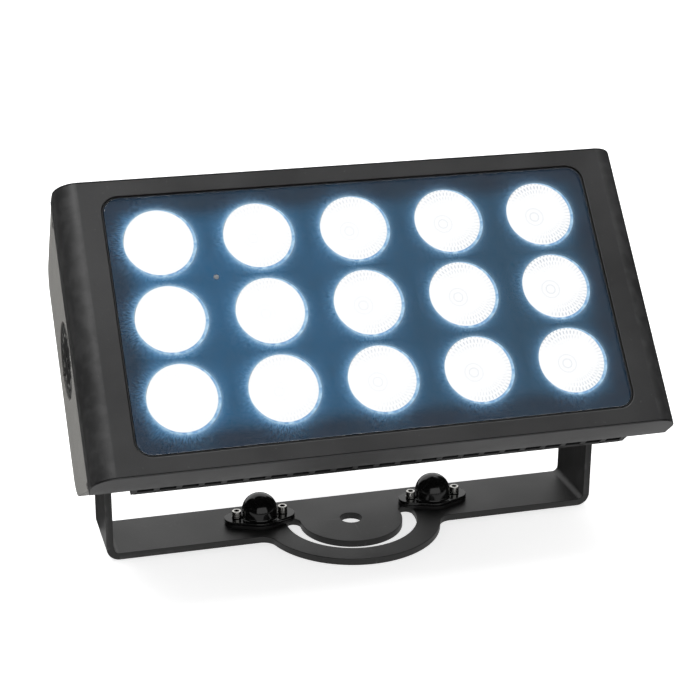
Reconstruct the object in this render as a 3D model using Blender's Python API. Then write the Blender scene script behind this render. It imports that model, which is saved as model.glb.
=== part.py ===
"""LED floodlight: a head with fifteen lenses, tilting in a U-shaped yoke that has two quick-lock cups.

Frame: metres, +Z up. The light faces -Y and its head leans back by TILT_AT_REST. The origin is on the
underside of the yoke's bar, in the middle of the bar. The tilt axis runs along X, straight above the
swivel hole. Head pieces are modelled level, round the tilt axis, and the empty head_axis tilts them.
"""

import math

import bmesh
import bpy
from mathutils import Matrix, Vector

MM = 0.001

# Clearances
FIT = 0.3 * MM  # between two pieces that touch
PAST = 2 * MM  # how far a cutter runs past the face it opens
FUSE = 0.5 * MM  # how deep a fused form reaches into its carrier

# Tilt
TILT_AT_REST = math.radians(41.6)
PIVOT_HEIGHT = 118.7 * MM
FACE_TO_PIVOT = 47.5 * MM

# Yoke, folded from one strip of plate
ARM_OUTER_GAP = 1.65 * MM  # from an arm's outer face to the cheek
ARM_INNER_GAP = 2.35 * MM  # from an arm's inner face to the heat sink
PLATE = 4.0 * MM
BAR_DEPTH = 42.1 * MM
BEND_RADIUS = 7.5 * MM
SWIVEL_HOLE_RADIUS = 6.45 * MM
SWIVEL_FORWARD = 10.0 * MM  # from the bar's centreline to the swivel hole
SLOT_INNER_RADIUS = 30.2 * MM
SLOT_WIDTH = 8.5 * MM
SLOT_HALF_SWEEP = math.radians(94)
LOBE_RADIUS = 52.5 * MM
LOBE_FILLET = 8.0 * MM
ARM_HEAD_RADIUS = 22.0 * MM
ARM_NECK_FILLET = 15.0 * MM
ARM_SHOULDER_DROP = 31.0 * MM  # from the tilt axis down to the arm's rear shoulder
ARM_SHOULDER_RADIUS = 10.0 * MM

# Quick-lock cups on the bar
CUP_SPACING = 106.0 * MM
CUP_RADIUS = 10.4 * MM
CUP_WALL = 1.5 * MM
CUP_TOP = 21.7 * MM
CUP_SHOULDER = 11.3 * MM  # where the cup's round top begins
CUP_BACK = -1.0 * MM  # the cups' place across the bar
CUP_FLANGE_THICKNESS = 1.6 * MM
CUP_SCREW_OFFSET = 13.7 * MM
CUP_EAR_RADIUS = 7.2 * MM
CUP_WAIST_RADIUS = 12.6 * MM
CAM_PLATE_THICKNESS = 1.9 * MM
KEY_RADIUS = 4.9 * MM
KEY_LENGTH = 15.0 * MM
KEY_WIDTH = 4.4 * MM
CUP_WASHER = (2.9 * MM, 1.0 * MM)  # spring washer: radius and thickness

# Screws: shank radius, head radius, head height, socket across the corners
M2 = (1.0 * MM, 1.75 * MM, 2.0 * MM, 0.9 * MM)
M3 = (1.5 * MM, 2.75 * MM, 3.0 * MM, 1.45 * MM)
M4 = (1.9 * MM, 3.5 * MM, 4.0 * MM, 1.75 * MM)
SHANK_PLAY = 0.4 * MM
HEAD_PLAY = 0.2 * MM
SOCKET_SHARE = 0.6  # depth of the hexagon socket, of the head's height

# Front frame of the head
HEAD_WIDTH = 324.0 * MM
HEAD_HEIGHT = 167.5 * MM
BEZEL_DEPTH = 23.5 * MM
BEZEL_SIDE_RADIUS = 13.0 * MM
SIDE_BORDER = 23.7 * MM  # from the frame's sides to the window
BORDER = 9.8 * MM  # from the frame's top and bottom to the window
WINDOW_RADIUS = 9.5 * MM
LEDGE_WIDTH = 1.6 * MM
GLASS_RECESS = 0.4 * MM
GLASS_THICKNESS = 3.0 * MM
GASKET_WALL = 0.6 * MM
GASKET_FLOOR = 0.5 * MM
GASKET_RECESS = 1.0 * MM
BEZEL_SCREW_STEPS = (-9, -3, 3, 9)  # fin pitches from the middle
BEZEL_SCREW_EDGE = 6.6 * MM  # from the frame's outer edge to the screw
BEZEL_SCREW_GRIP = 9.0 * MM

# Optics
LENS_COLUMNS = 5
LENS_ROWS = 3
LENS_EDGE = 29.5 * MM  # from the window's edge to the nearest lenses' centres
LENS_GAP = 5.05 * MM  # between two lenses of a column
LENS_RIM = 2.0 * MM
LENS_BASE_RADIUS = 8.0 * MM
LENS_SINK = 0.2 * MM  # below the panel's face
LENS_RAISE = 1.5 * MM  # of the whole array above the window's middle
PANEL_THICKNESS = 3.0 * MM
PANEL_POST_RADIUS = 3.0 * MM
BOARD_THICKNESS = 1.6 * MM
BOARD_MARGIN = 2.0 * MM
EMITTER_SIDE = 5.4 * MM
EMITTER_THICKNESS = 0.9 * MM
SENSOR_RADIUS = 1.5 * MM
SENSOR_HEIGHT = 1.0 * MM

# Body behind the frame: tapered side profile shared by heat sink and cheeks
BODY_DEPTH = 85.0 * MM  # front face to the rear of the fins
CHEEK_STEP = 2.05 * MM  # from the frame's top and bottom in to the cheeks'
BODY_TAPER = math.radians(14)
BODY_REAR_RADIUS = 15.0 * MM
EDGE_STEP = 0.7 * MM  # from the cheeks' edges in to the fins' and the feet's

# Heat sink
SINK_BASE = 10.0 * MM
SINK_BASE_STEP = 0.55 * MM  # from the frame's top and bottom in to the base plate's
FIN_THICKNESS = 3.0 * MM
FIN_COUNT = 24
PIVOT_BLOCK_HALF = 15.0 * MM
PIVOT_BLOCK_LENGTH = 22.5 * MM
PEDESTAL_HALF_WIDTH = 50.0 * MM
PEDESTAL_HALF_HEIGHT = 22.0 * MM
CABLE_PORT_RADIUS = 6.0 * MM

# Cheeks
CHEEK_THICKNESS = 14.5 * MM
CAP_RADIUS = 21.0 * MM
CAP_PLAY = 0.4 * MM
CAP_RECESS = 0.7 * MM
CHEEK_WEB_LOW = 50.0 * MM
CHEEK_WEB_DEPTH = 48.5 * MM
CHEEK_LUG_HEIGHT = 14.0 * MM
CHEEK_LUG_DEPTH = 4.0 * MM
CHEEK_SCREW_EDGES = (4.2 * MM, 10.2 * MM)  # up from the cheek's lower corner, down from its upper
CHEEK_SCREW_BACK = 2.4 * MM  # from the heat sink's front to the cheek's screws
CHEEK_SCREW_POCKET = 2.1 * MM
CHEEK_SCREW_GRIP = 9.0 * MM
NOTCH_LENGTH = 2.6 * MM
NOTCH_WIDTH = 2.6 * MM
NOTCH_DEPTH = 1.6 * MM

# Tilt pivots
PIN_RADIUS = 7.7 * MM
PIN_LENGTH = 18.5 * MM
PIN_PLAY = 0.3 * MM
CAP_SCREW_OFFSET = 4.0 * MM
CAP_SCREW_TURN = math.radians(30)  # of the pair of screws, up from level
CAP_SCREW_GRIP = 9.0 * MM
FRICTION_RADIUS = 19.0 * MM

# Driver housing at the back
HOUSING_WIDTH = 160.0 * MM
HOUSING_HEIGHT = 104.0 * MM
HOUSING_RADIUS = 8.0 * MM
HOUSING_WALL = 3.0 * MM
HOUSING_FRONT = 45.0 * MM  # from the front face
HOUSING_LENGTH = 52.0 * MM
HOUSING_AIR = 1.2 * MM  # round the housing, to the fins
BOSS_RADIUS = 5.0 * MM
BOSS_EDGE = 6.5 * MM  # from the housing's outside to the bosses' centres
COVER_GASKET_THICKNESS = 1.2 * MM
COVER_THICKNESS = 3.5 * MM
COVER_SCREW_GRIP = 8.0 * MM

# Controls on the rear cover
DISPLAY_WIDTH = 56.0 * MM
DISPLAY_HEIGHT = 20.0 * MM
DISPLAY_FROM_TOP = 19.0 * MM
DISPLAY_THICKNESS = 1.6 * MM
DISPLAY_EDGE = 3.0 * MM
BUTTON_NAMES = ("menu_button", "down_button", "up_button", "enter_button")
BUTTON_PITCH = 18.0 * MM
BUTTONS_FROM_TOP = 44.0 * MM
BUTTON_RADIUS = 4.5 * MM
BUTTON_PLAY = 0.3 * MM
BUTTON_FLANGE_RADIUS = 6.0 * MM
BUTTON_FLANGE = 0.9 * MM
BUTTON_PROUD = 1.7 * MM
BUTTON_EDGE = 0.7 * MM
BUTTON_TRAVEL = 1.0 * MM
CONTROL_BOARD_WIDTH = 82.0 * MM
CONTROL_BOARD_HEIGHT = 46.0 * MM
CONTROL_POST_RADIUS = 2.0 * MM

# Sockets on the rear cover
SOCKET_NAMES = ("data_outlet", "data_inlet", "power_inlet", "power_outlet")
SOCKETS_FROM_BOTTOM = 28.0 * MM
SOCKETS_FROM_SIDE = 23.0 * MM
SOCKET_BARREL_RADIUS = 12.2 * MM
SOCKET_BARREL_LENGTH = 20.0 * MM
SOCKET_PLATE_WIDTH = 27.0 * MM
SOCKET_PLATE_HEIGHT = 31.0 * MM
SOCKET_PLATE_RADIUS = 3.0 * MM
SOCKET_PLATE = 2.5 * MM
SOCKET_COLLAR_RADIUS = 12.0 * MM
SOCKET_COLLAR = 3.0 * MM
SOCKET_BORE_RADIUS = 9.4 * MM
SOCKET_BORE_DEPTH = 18.0 * MM
CONTACT_LENGTH = 9.0 * MM
CONTACT_CIRCLE = 5.2 * MM
POWER_CONTACTS = 3
POWER_BLADE_THICKNESS = 1.6 * MM
POWER_BLADE_HEIGHT = 4.0 * MM
DATA_CONTACTS = 5
DATA_CONTACT_STEP = math.radians(55)
DATA_CONTACT_RADIUS = 0.8 * MM

# Rear fittings
EYE_STEPS = 9.5  # fin pitches from the middle
EYE_ROW = 22.0 * MM
EYE_BASE_WIDTH = 32.0 * MM
EYE_BASE_HEIGHT = 36.0 * MM
EYE_BASE_THICKNESS = 3.0 * MM
EYE_RING_RADIUS = 13.0 * MM
EYE_ROD_RADIUS = 3.0 * MM
EYE_SCREW_GRIP = 9.0 * MM
EYE_BOSS_RADIUS = 3.2 * MM
VENT_FROM_SIDE = 25.0 * MM
VENT_HEX_RADIUS = 7.0 * MM
VENT_HEX_HEIGHT = 3.5 * MM
VENT_CAP_RADIUS = 5.4 * MM
VENT_CAP_HEIGHT = 2.5 * MM
VENT_STEM_RADIUS = 3.0 * MM

# Electronics inside the housing
ELECTRONICS_HEIGHT = 46.0 * MM
ELECTRONICS_SPLIT = 3.0 * MM  # from the housing's middle to both units
BOARDS_FROM_WALL = 3.5 * MM
BOARDS_FROM_BOSS = 4.5 * MM
SUPPLY_LENGTH = 31.0 * MM
DRIVER_STAND = 4.0 * MM

# Facets
SHARP_ANGLE = math.radians(35)
CAP_STEPS = 36
LENS_STEPS = 16
ROUND_STEPS = 20
SMALL_STEPS = 12
BORE_STEPS = 6
SCREW_STEPS = 12
CORNER_STEPS = 3
EAR_STEPS = 4
CROWN_STEPS = 5
BEND_STEPS = 5
SLOT_STEPS = 20
LOBE_STEPS = 22
ARM_HEAD_STEPS = 16

# Sizes that follow
HALF_WIDTH = HEAD_WIDTH / 2
HALF_HEIGHT = HEAD_HEIGHT / 2
CHEEK_INNER = HALF_WIDTH - CHEEK_THICKNESS
CHEEK_HALF_HEIGHT = HALF_HEIGHT - CHEEK_STEP  # at the frame
HALF_YOKE = CHEEK_INNER - ARM_OUTER_GAP
ARM_INNER = HALF_YOKE - PLATE
HALF_SINK = ARM_INNER - ARM_INNER_GAP
SINK_BASE_HALF_HEIGHT = HALF_HEIGHT - SINK_BASE_STEP
FIN_PITCH = (2 * HALF_SINK - FIN_THICKNESS) / (FIN_COUNT - 1)
CAP_FACE = HALF_WIDTH - CAP_RECESS
CAP_SEAT = HALF_YOKE + FIT
PIN_END = ARM_INNER - FIT - PIN_LENGTH
BODY_FRONT = BEZEL_DEPTH + FIT
SINK_REAR = BODY_FRONT + SINK_BASE
GLASS_BACK = GLASS_RECESS + GLASS_THICKNESS
REBATE_DEPTH = GLASS_BACK + FIT + GASKET_FLOOR + FIT
WINDOW_WIDTH = HEAD_WIDTH - 2 * SIDE_BORDER
WINDOW_HEIGHT = HEAD_HEIGHT - 2 * BORDER
CAVITY_WIDTH = WINDOW_WIDTH - 2 * LEDGE_WIDTH
CAVITY_HEIGHT = WINDOW_HEIGHT - 2 * LEDGE_WIDTH
CAVITY_RADIUS = WINDOW_RADIUS - LEDGE_WIDTH
LENS_PITCH_X = (WINDOW_WIDTH - 2 * LENS_EDGE) / (LENS_COLUMNS - 1)
LENS_PITCH_Z = (WINDOW_HEIGHT - 2 * LENS_EDGE) / (LENS_ROWS - 1)
LENS_RADIUS = (LENS_PITCH_Z - LENS_GAP) / 2
BOARD_FRONT = BODY_FRONT - FIT - BOARD_THICKNESS
PANEL_DEPTH = GLASS_BACK + FIT
PANEL_BACK = PANEL_DEPTH + PANEL_THICKNESS
LENS_FACE = PANEL_DEPTH + LENS_SINK
EMITTER_FRONT = BOARD_FRONT - FIT - EMITTER_THICKNESS
LENS_BASE = EMITTER_FRONT - FIT
BEZEL_SCREW_ROW = HALF_HEIGHT - BEZEL_SCREW_EDGE
CHEEK_SCREW_DEPTH = BODY_FRONT + CHEEK_SCREW_BACK
CHEEK_SCREW_HEIGHTS = (CHEEK_SCREW_EDGES[0] - CHEEK_HALF_HEIGHT, CHEEK_HALF_HEIGHT - CHEEK_SCREW_EDGES[1])
SINK_TIPS = BODY_DEPTH - EDGE_STEP
INNER_HALF_HEIGHT = CHEEK_HALF_HEIGHT - EDGE_STEP  # of the fins and the cheeks' feet, at the frame
HOUSING_REAR = HOUSING_FRONT + HOUSING_LENGTH
HOUSING_TOP = HOUSING_HEIGHT / 2
BOSS_COLUMN = HOUSING_WIDTH / 2 - BOSS_EDGE
BOSS_ROW = HOUSING_TOP - BOSS_EDGE
DISPLAY_ROW = HOUSING_TOP - DISPLAY_FROM_TOP
BUTTON_ROW = HOUSING_TOP - BUTTONS_FROM_TOP
SOCKET_ROW = SOCKETS_FROM_BOTTOM - HOUSING_TOP
SOCKET_PITCH = (HOUSING_WIDTH - 2 * SOCKETS_FROM_SIDE) / (len(SOCKET_NAMES) - 1)
VENT_COLUMN = HOUSING_WIDTH / 2 - VENT_FROM_SIDE
BOARD_TOP = HOUSING_TOP - HOUSING_WALL - BOARDS_FROM_WALL
ELECTRONICS_REACH = BOSS_COLUMN - BOSS_RADIUS - BOARDS_FROM_BOSS
EYE_COLUMN = EYE_STEPS * FIN_PITCH
COVER_FRONT = HOUSING_REAR + FIT + COVER_GASKET_THICKNESS + FIT
COVER_REAR = COVER_FRONT + COVER_THICKNESS
CONTROL_POST = FIT + BUTTON_FLANGE + BUTTON_TRAVEL + FIT
SWIVEL_Y = -SWIVEL_FORWARD
CAM_PLATE_BOTTOM = PLATE + FIT
CAM_PLATE_TOP = CAM_PLATE_BOTTOM + CAM_PLATE_THICKNESS
FLANGE_BOTTOM = CAM_PLATE_TOP + FIT
FLANGE_TOP = FLANGE_BOTTOM + CUP_FLANGE_THICKNESS
SCREW_END = FIT  # height of the tips of the cups' screws, inside the plate
CUP_BORE_RADIUS = CUP_RADIUS - CUP_WALL


def axis_numbers(axis):
    """Number of an axis, and of the two axes that an outline across it is drawn in."""
    along = "XYZ".index(axis)
    first, second = [number for number in range(3) if number != along]
    return along, first, second


def at_depth(depth):
    """Station on the head's own Y, from a depth behind the front face."""
    return depth - FACE_TO_PIVOT


def clear_scene():
    """Removes every object that the scene starts with."""
    for old in list(bpy.data.objects):
        bpy.data.objects.remove(old, do_unlink=True)


def material(name, colour, roughness, metallic=0.0):
    """Principled material of one finish."""
    made = bpy.data.materials.new(name)
    made.use_nodes = True
    shader = made.node_tree.nodes["Principled BSDF"]
    shader.inputs["Base Color"].default_value = (*colour, 1.0)
    shader.inputs["Roughness"].default_value = roughness
    shader.inputs["Metallic"].default_value = metallic
    return made


# Outlines, as lists of two coordinates

def arc(centre, radius, start, end, steps):
    """Points on a circle from one angle to another in radians, both ends included."""
    turn = (end - start) / steps
    return [
        (centre[0] + radius * math.cos(start + turn * i), centre[1] + radius * math.sin(start + turn * i))
        for i in range(steps + 1)
    ]


def circle(centre, radius, steps):
    """Closed round outline."""
    return arc(centre, radius, 0, math.tau * (steps - 1) / steps, steps - 1)


def filleted(corners, steps=CORNER_STEPS):
    """Outline through corners of (u, v, radius), each rounded to its own radius."""
    outline = []
    count = len(corners)
    for i, (u, v, radius) in enumerate(corners):
        here = Vector((u, v))
        if radius <= 0:
            outline.append((u, v))
            continue
        before = (Vector(corners[i - 1][:2]) - here).normalized()
        after = (Vector(corners[(i + 1) % count][:2]) - here).normalized()
        half = before.angle(after) / 2
        centre = here + (before + after).normalized() * radius / math.sin(half)
        first = here + before * radius / math.tan(half) - centre
        sweep = before.angle_signed(after)
        turn = math.pi - abs(sweep)
        side = 1 if sweep > 0 else -1
        for step in range(steps + 1):
            spoke = first.copy()
            spoke.rotate(Matrix.Rotation(side * turn * step / steps, 2))
            outline.append(tuple(centre + spoke))
    return outline


def rounded_rectangle(width, height, radius, centre=(0, 0)):
    """Rectangle with four equal round corners."""
    u, v = width / 2, height / 2
    corners = [(-u, -v, radius), (u, -v, radius), (u, v, radius), (-u, v, radius)]
    return [(centre[0] + p[0], centre[1] + p[1]) for p in filleted(corners)]


def body_outline(high, front, rear):
    """Side profile behind the frame in (depth station, height): tapered, with round rear corners."""
    front_high = high - (front - BODY_FRONT) * math.tan(BODY_TAPER)
    rear_high = high - (rear - BODY_FRONT) * math.tan(BODY_TAPER)
    corners = [
        (at_depth(front), -front_high, 0),
        (at_depth(rear), -rear_high, BODY_REAR_RADIUS),
        (at_depth(rear), rear_high, BODY_REAR_RADIUS),
        (at_depth(front), front_high, 0),
    ]
    return filleted(corners)


# Closed solids, drawn into a bmesh

def prism(bm, outline, axis, low, high):
    """Extrudes an outline along an axis from one station to another."""
    along, first, second = axis_numbers(axis)
    corners = []
    for u, v in outline:
        place = [0.0, 0.0, 0.0]
        place[first] = u
        place[second] = v
        place[along] = low
        corners.append(bm.verts.new(place))
    face = bm.faces.new(corners)
    grown = bmesh.ops.extrude_face_region(bm, geom=[face])
    push = [0.0, 0.0, 0.0]
    push[along] = high - low
    moved = [item for item in grown["geom"] if isinstance(item, bmesh.types.BMVert)]
    bmesh.ops.translate(bm, verts=moved, vec=push)


def block(bm, low, high):
    """Box between two opposite corners."""
    outline = [(low[0], low[1]), (high[0], low[1]), (high[0], high[1]), (low[0], high[1])]
    prism(bm, outline, "Z", low[2], high[2])


def turned(bm, profile, axis, centre, steps, closed=False):
    """Spins a profile of (radius, station) points round an axis through a centre point."""
    along, across, _ = axis_numbers(axis)
    points = []
    for radius, station in profile:
        place = list(centre)
        place[along] += station
        place[across] += radius
        points.append(bm.verts.new(place))
    pairs = list(zip(points, points[1:]))
    if closed:
        pairs.append((points[-1], points[0]))
    edges = [bm.edges.new(pair) for pair in pairs]
    spindle = [0.0, 0.0, 0.0]
    spindle[along] = 1.0
    bmesh.ops.spin(
        bm, geom=points + edges, cent=centre, axis=spindle, angle=math.tau, steps=steps, use_merge=True
    )
    on_spindle = [vert for vert in bm.verts if is_on_spindle(vert.co, centre, along)]
    bmesh.ops.remove_doubles(bm, verts=on_spindle, dist=1e-6)


def is_on_spindle(place, centre, along):
    """True for a point that lies on the spinning axis."""
    off = Vector(place) - Vector(centre)
    off[along] = 0.0
    return off.length < 1e-6


def rod(bm, axis, centre, radius, low, high, steps=SMALL_STEPS):
    """Plain round bar between two stations on an axis through a centre point."""
    _, first, second = axis_numbers(axis)
    prism(bm, circle((centre[first], centre[second]), radius, steps), axis, low, high)


# Objects

def shade(mesh):
    """Smooth shading with sharp edges where two faces meet at a clear angle."""
    mesh.shade_smooth()
    mesh.set_sharp_from_angle(angle=SHARP_ANGLE)


def add_object(name, bm, finish, parent=None):
    """Turns a bmesh into a named object with its finish, faces pointing out."""
    bmesh.ops.recalc_face_normals(bm, faces=bm.faces)
    mesh = bpy.data.meshes.new(name)
    bm.to_mesh(mesh)
    bm.free()
    shade(mesh)
    if finish is not None:
        mesh.materials.append(finish)
    made = bpy.data.objects.new(name, mesh)
    made.parent = parent
    bpy.context.collection.objects.link(made)
    return made


def combine(target, operation, name, bm):
    """Adds a Boolean to an object, with its second shape as a hidden wire guide."""
    guide = add_object(name, bm, None, target.parent)
    guide.hide_render = True
    guide.display_type = "WIRE"
    step = target.modifiers.new(name, "BOOLEAN")
    step.operation = operation
    step.solver = "EXACT"
    step.object = guide


def settle():
    """Applies every Boolean, removes the guides and shades the finished meshes."""
    graph = bpy.context.evaluated_depsgraph_get()
    shaped = [item for item in bpy.data.objects if item.modifiers]
    results = [bpy.data.meshes.new_from_object(item.evaluated_get(graph)) for item in shaped]
    for item, mesh in zip(shaped, results):
        guides = [step.object for step in item.modifiers]
        item.modifiers.clear()
        blank = item.data
        item.data = mesh
        bpy.data.meshes.remove(blank)
        mesh.name = item.name
        shade(mesh)
        for guide in guides:
            bpy.data.objects.remove(guide, do_unlink=True)


def cut(target, name, bm):
    """Takes a shape out of an object."""
    combine(target, "DIFFERENCE", name, bm)


def fuse(target, name, bm):
    """Joins a shape to an object as one solid."""
    combine(target, "UNION", name, bm)


def draw_screw(bm, seat, axis, facing, size, length, washer=None, socket=True):
    """Cap screw: seat is the point under its head, facing is the head's side of the axis."""
    shank_radius, head_radius, head_height, socket_radius = size
    sections = [(shank_radius, -length, 1)]
    if washer is None:
        sections += [(shank_radius, 0, 1)]
    else:
        sections += [(shank_radius, -washer[1], 1), (washer[0], -washer[1], 1), (washer[0], 0, 1)]
    sections += [(head_radius, 0, 1), (head_radius, head_height, 1)]
    steps = BORE_STEPS
    if socket:
        steps = SCREW_STEPS
        flat = math.cos(math.pi / 6)  # a hexagon's flats lie this much closer in than its corners
        floor = head_height * (1 - SOCKET_SHARE)
        sections += [(socket_radius, head_height, flat), (socket_radius, floor, flat)]
    along, first, second = axis_numbers(axis)
    rings = []
    for radius, station, flatness in sections:
        ring = []
        for i in range(steps):
            turn = math.tau * i / steps
            reach = radius * (flatness if i % 2 else 1)
            place = list(seat)
            place[along] += facing * station
            place[first] += reach * math.cos(turn)
            place[second] += reach * math.sin(turn)
            ring.append(bm.verts.new(place))
        rings.append(ring)
    for near, far in zip(rings, rings[1:]):
        for i in range(steps):
            after = (i + 1) % steps
            bm.faces.new((near[i], near[after], far[after], far[i]))
    bm.faces.new(rings[0])
    bm.faces.new(rings[-1])


def add_screw(name, seat, axis, facing, size, length, finish, washer=None):
    """One socket-head screw as a node of its own."""
    body = bmesh.new()
    draw_screw(body, seat, axis, facing, size, length, washer)
    add_object(name, body, finish)


def fuse_screws(target, seats, axis, facing, size, length):
    """Plain-headed screws that stay in the piece they hold, as one solid with it."""
    bodies = bmesh.new()
    for seat in seats:
        draw_screw(bodies, seat, axis, facing, size, length, socket=False)
    fuse(target, target.name + "_screws", bodies)


# Yoke and what is fixed to it

def yoke_strip_outline():
    """Front view of the folded strip: a U with round outer and inner bends, in (x, z)."""
    top = PIVOT_HEIGHT + ARM_HEAD_RADIUS + PAST
    inner_bend = BEND_RADIUS - PLATE
    corners = [
        (-HALF_YOKE, 0, BEND_RADIUS),
        (HALF_YOKE, 0, BEND_RADIUS),
        (HALF_YOKE, top, 0),
        (ARM_INNER, top, 0),
        (ARM_INNER, PLATE, inner_bend),
        (-ARM_INNER, PLATE, inner_bend),
        (-ARM_INNER, top, 0),
        (-HALF_YOKE, top, 0),
    ]
    return filleted(corners, BEND_STEPS)


def arm_side_outline():
    """Side view of the arms in (y, z): straight edges, and a round head about the tilt axis."""
    front, rear = -BAR_DEPTH / 2, BAR_DEPTH / 2
    pivot = Vector((SWIVEL_Y, PIVOT_HEIGHT))
    reach = ARM_HEAD_RADIUS + ARM_NECK_FILLET
    neck_y = front - ARM_NECK_FILLET
    neck_z = PIVOT_HEIGHT - math.sqrt(reach**2 - (neck_y - SWIVEL_Y) ** 2)
    neck_turn = math.atan2(PIVOT_HEIGHT - neck_z, SWIVEL_Y - neck_y)
    neck = arc((neck_y, neck_z), ARM_NECK_FILLET, 0, neck_turn, CORNER_STEPS)
    shoulder = Vector((rear, PIVOT_HEIGHT - ARM_SHOULDER_DROP))
    away = shoulder - pivot
    tangent = math.atan2(away.y, away.x) + math.acos(ARM_HEAD_RADIUS / away.length)
    head = arc(pivot, ARM_HEAD_RADIUS, neck_turn + math.pi, tangent, ARM_HEAD_STEPS)
    corners = [(rear, -PAST, 0), (rear, shoulder.y, ARM_SHOULDER_RADIUS), (*head[-1], 0)]
    back = filleted(corners)
    return [(front, -PAST)] + neck + head[1:-1] + back[::-1]


def lobe_outline():
    """Round front lobe of the bar, about the swivel hole, with its two fillets, in (x, y)."""
    edge = -BAR_DEPTH / 2
    reach = LOBE_RADIUS + LOBE_FILLET
    fillet_y = edge - LOBE_FILLET
    fillet_x = math.sqrt(reach**2 - (fillet_y - SWIVEL_Y) ** 2)
    lean = math.atan2(SWIVEL_Y - fillet_y, fillet_x)
    right = arc((fillet_x, fillet_y), LOBE_FILLET, math.pi / 2, math.pi - lean, BEND_STEPS)
    front = arc((0, SWIVEL_Y), LOBE_RADIUS, -lean, lean - math.pi, LOBE_STEPS)
    left = [(-x, y) for x, y in reversed(right)]
    inside = edge + PLATE
    return [(fillet_x, inside)] + right + front[1:-1] + left + [(-fillet_x, inside)]


def slot_outline():
    """Arc slot about the swivel hole with round ends, in (x, y)."""
    middle = SLOT_INNER_RADIUS + SLOT_WIDTH / 2
    first = -math.pi / 2 - SLOT_HALF_SWEEP
    last = -math.pi / 2 + SLOT_HALF_SWEEP
    centre = (0, SWIVEL_Y)
    outer = arc(centre, SLOT_INNER_RADIUS + SLOT_WIDTH, first, last, SLOT_STEPS)
    inner = arc(centre, SLOT_INNER_RADIUS, last, first, SLOT_STEPS)
    ends = []
    for angle, start in ((last, last), (first, first + math.pi)):
        at = (middle * math.cos(angle), SWIVEL_Y + middle * math.sin(angle))
        ends.append(arc(at, SLOT_WIDTH / 2, start, start + math.pi, BEND_STEPS)[1:-1])
    return outer + ends[0] + inner + ends[1]


def cup_places():
    """Centres of the two quick-lock cups with their names."""
    return (("left", -CUP_SPACING / 2), ("right", CUP_SPACING / 2))


def cap_screw_places(x):
    """The pair of cap screws about the tilt axis, in the bracket's own frame."""
    offset = Vector((math.cos(CAP_SCREW_TURN), math.sin(CAP_SCREW_TURN))) * CAP_SCREW_OFFSET
    return [
        (x, SWIVEL_Y + side * offset.x, PIVOT_HEIGHT + side * offset.y)
        for side in (-1, 1)
    ]


def add_yoke(finish):
    """U-shaped bracket: folded strip, round arm heads, front lobe, swivel hole and arc slot."""
    strip = bmesh.new()
    front = SWIVEL_Y - ARM_HEAD_RADIUS - PAST
    prism(strip, yoke_strip_outline(), "Y", front, BAR_DEPTH / 2 + PAST)
    yoke = add_object("yoke", strip, finish)

    side = bmesh.new()
    prism(side, arm_side_outline(), "X", -HALF_YOKE - PAST, HALF_YOKE + PAST)
    combine(yoke, "INTERSECT", "yoke_side_view", side)

    lobe = bmesh.new()
    prism(lobe, lobe_outline(), "Z", 0, PLATE)
    fuse(yoke, "yoke_lobe", lobe)

    holes = bmesh.new()
    prism(holes, slot_outline(), "Z", -PAST, PLATE + PAST)
    rod(holes, "Z", (0, SWIVEL_Y, 0), SWIVEL_HOLE_RADIUS, -PAST, PLATE + PAST, ROUND_STEPS)
    for _, x in cup_places():
        rod(holes, "Z", (x, CUP_BACK, 0), CUP_BORE_RADIUS, -PAST, PLATE + PAST, ROUND_STEPS)
        for side in (-1, 1):
            centre = (x + side * CUP_SCREW_OFFSET, CUP_BACK, 0)
            rod(holes, "Z", centre, M3[0] + SHANK_PLAY, -PAST, PLATE + PAST, BORE_STEPS)
    for place in cap_screw_places(0):
        reach = HALF_YOKE + PAST
        rod(holes, "X", place, M4[0] + SHANK_PLAY, -reach, reach, BORE_STEPS)
    cut(yoke, "yoke_holes", holes)
    return yoke


def cup_outline(centre):
    """Oval flange of a quick-lock cup: a round waist and two round ears, in (x, y)."""
    lean = math.acos((CUP_WAIST_RADIUS - CUP_EAR_RADIUS) / CUP_SCREW_OFFSET)
    ear = arc((CUP_SCREW_OFFSET, 0), CUP_EAR_RADIUS, 0, lean, EAR_STEPS)
    quarter = ear + arc((0, 0), CUP_WAIST_RADIUS, lean, math.pi / 2, CORNER_STEPS)
    half = quarter + [(-x, y) for x, y in reversed(quarter)][1:]
    full = half + [(x, -y) for x, y in reversed(half)][1:-1]
    return [(centre[0] + x, centre[1] + y) for x, y in full]


def cup_wall_profile(radius, top):
    """Half section of a domed cup from its foot to its crown: upright wall, then a quarter ellipse."""
    rise = top - CUP_SHOULDER
    turns = [math.pi / 2 * step / CROWN_STEPS for step in range(CROWN_STEPS)]
    crown = [(radius * math.cos(turn), CUP_SHOULDER + rise * math.sin(turn)) for turn in turns]
    return crown + [(0.0, top)]


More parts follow.
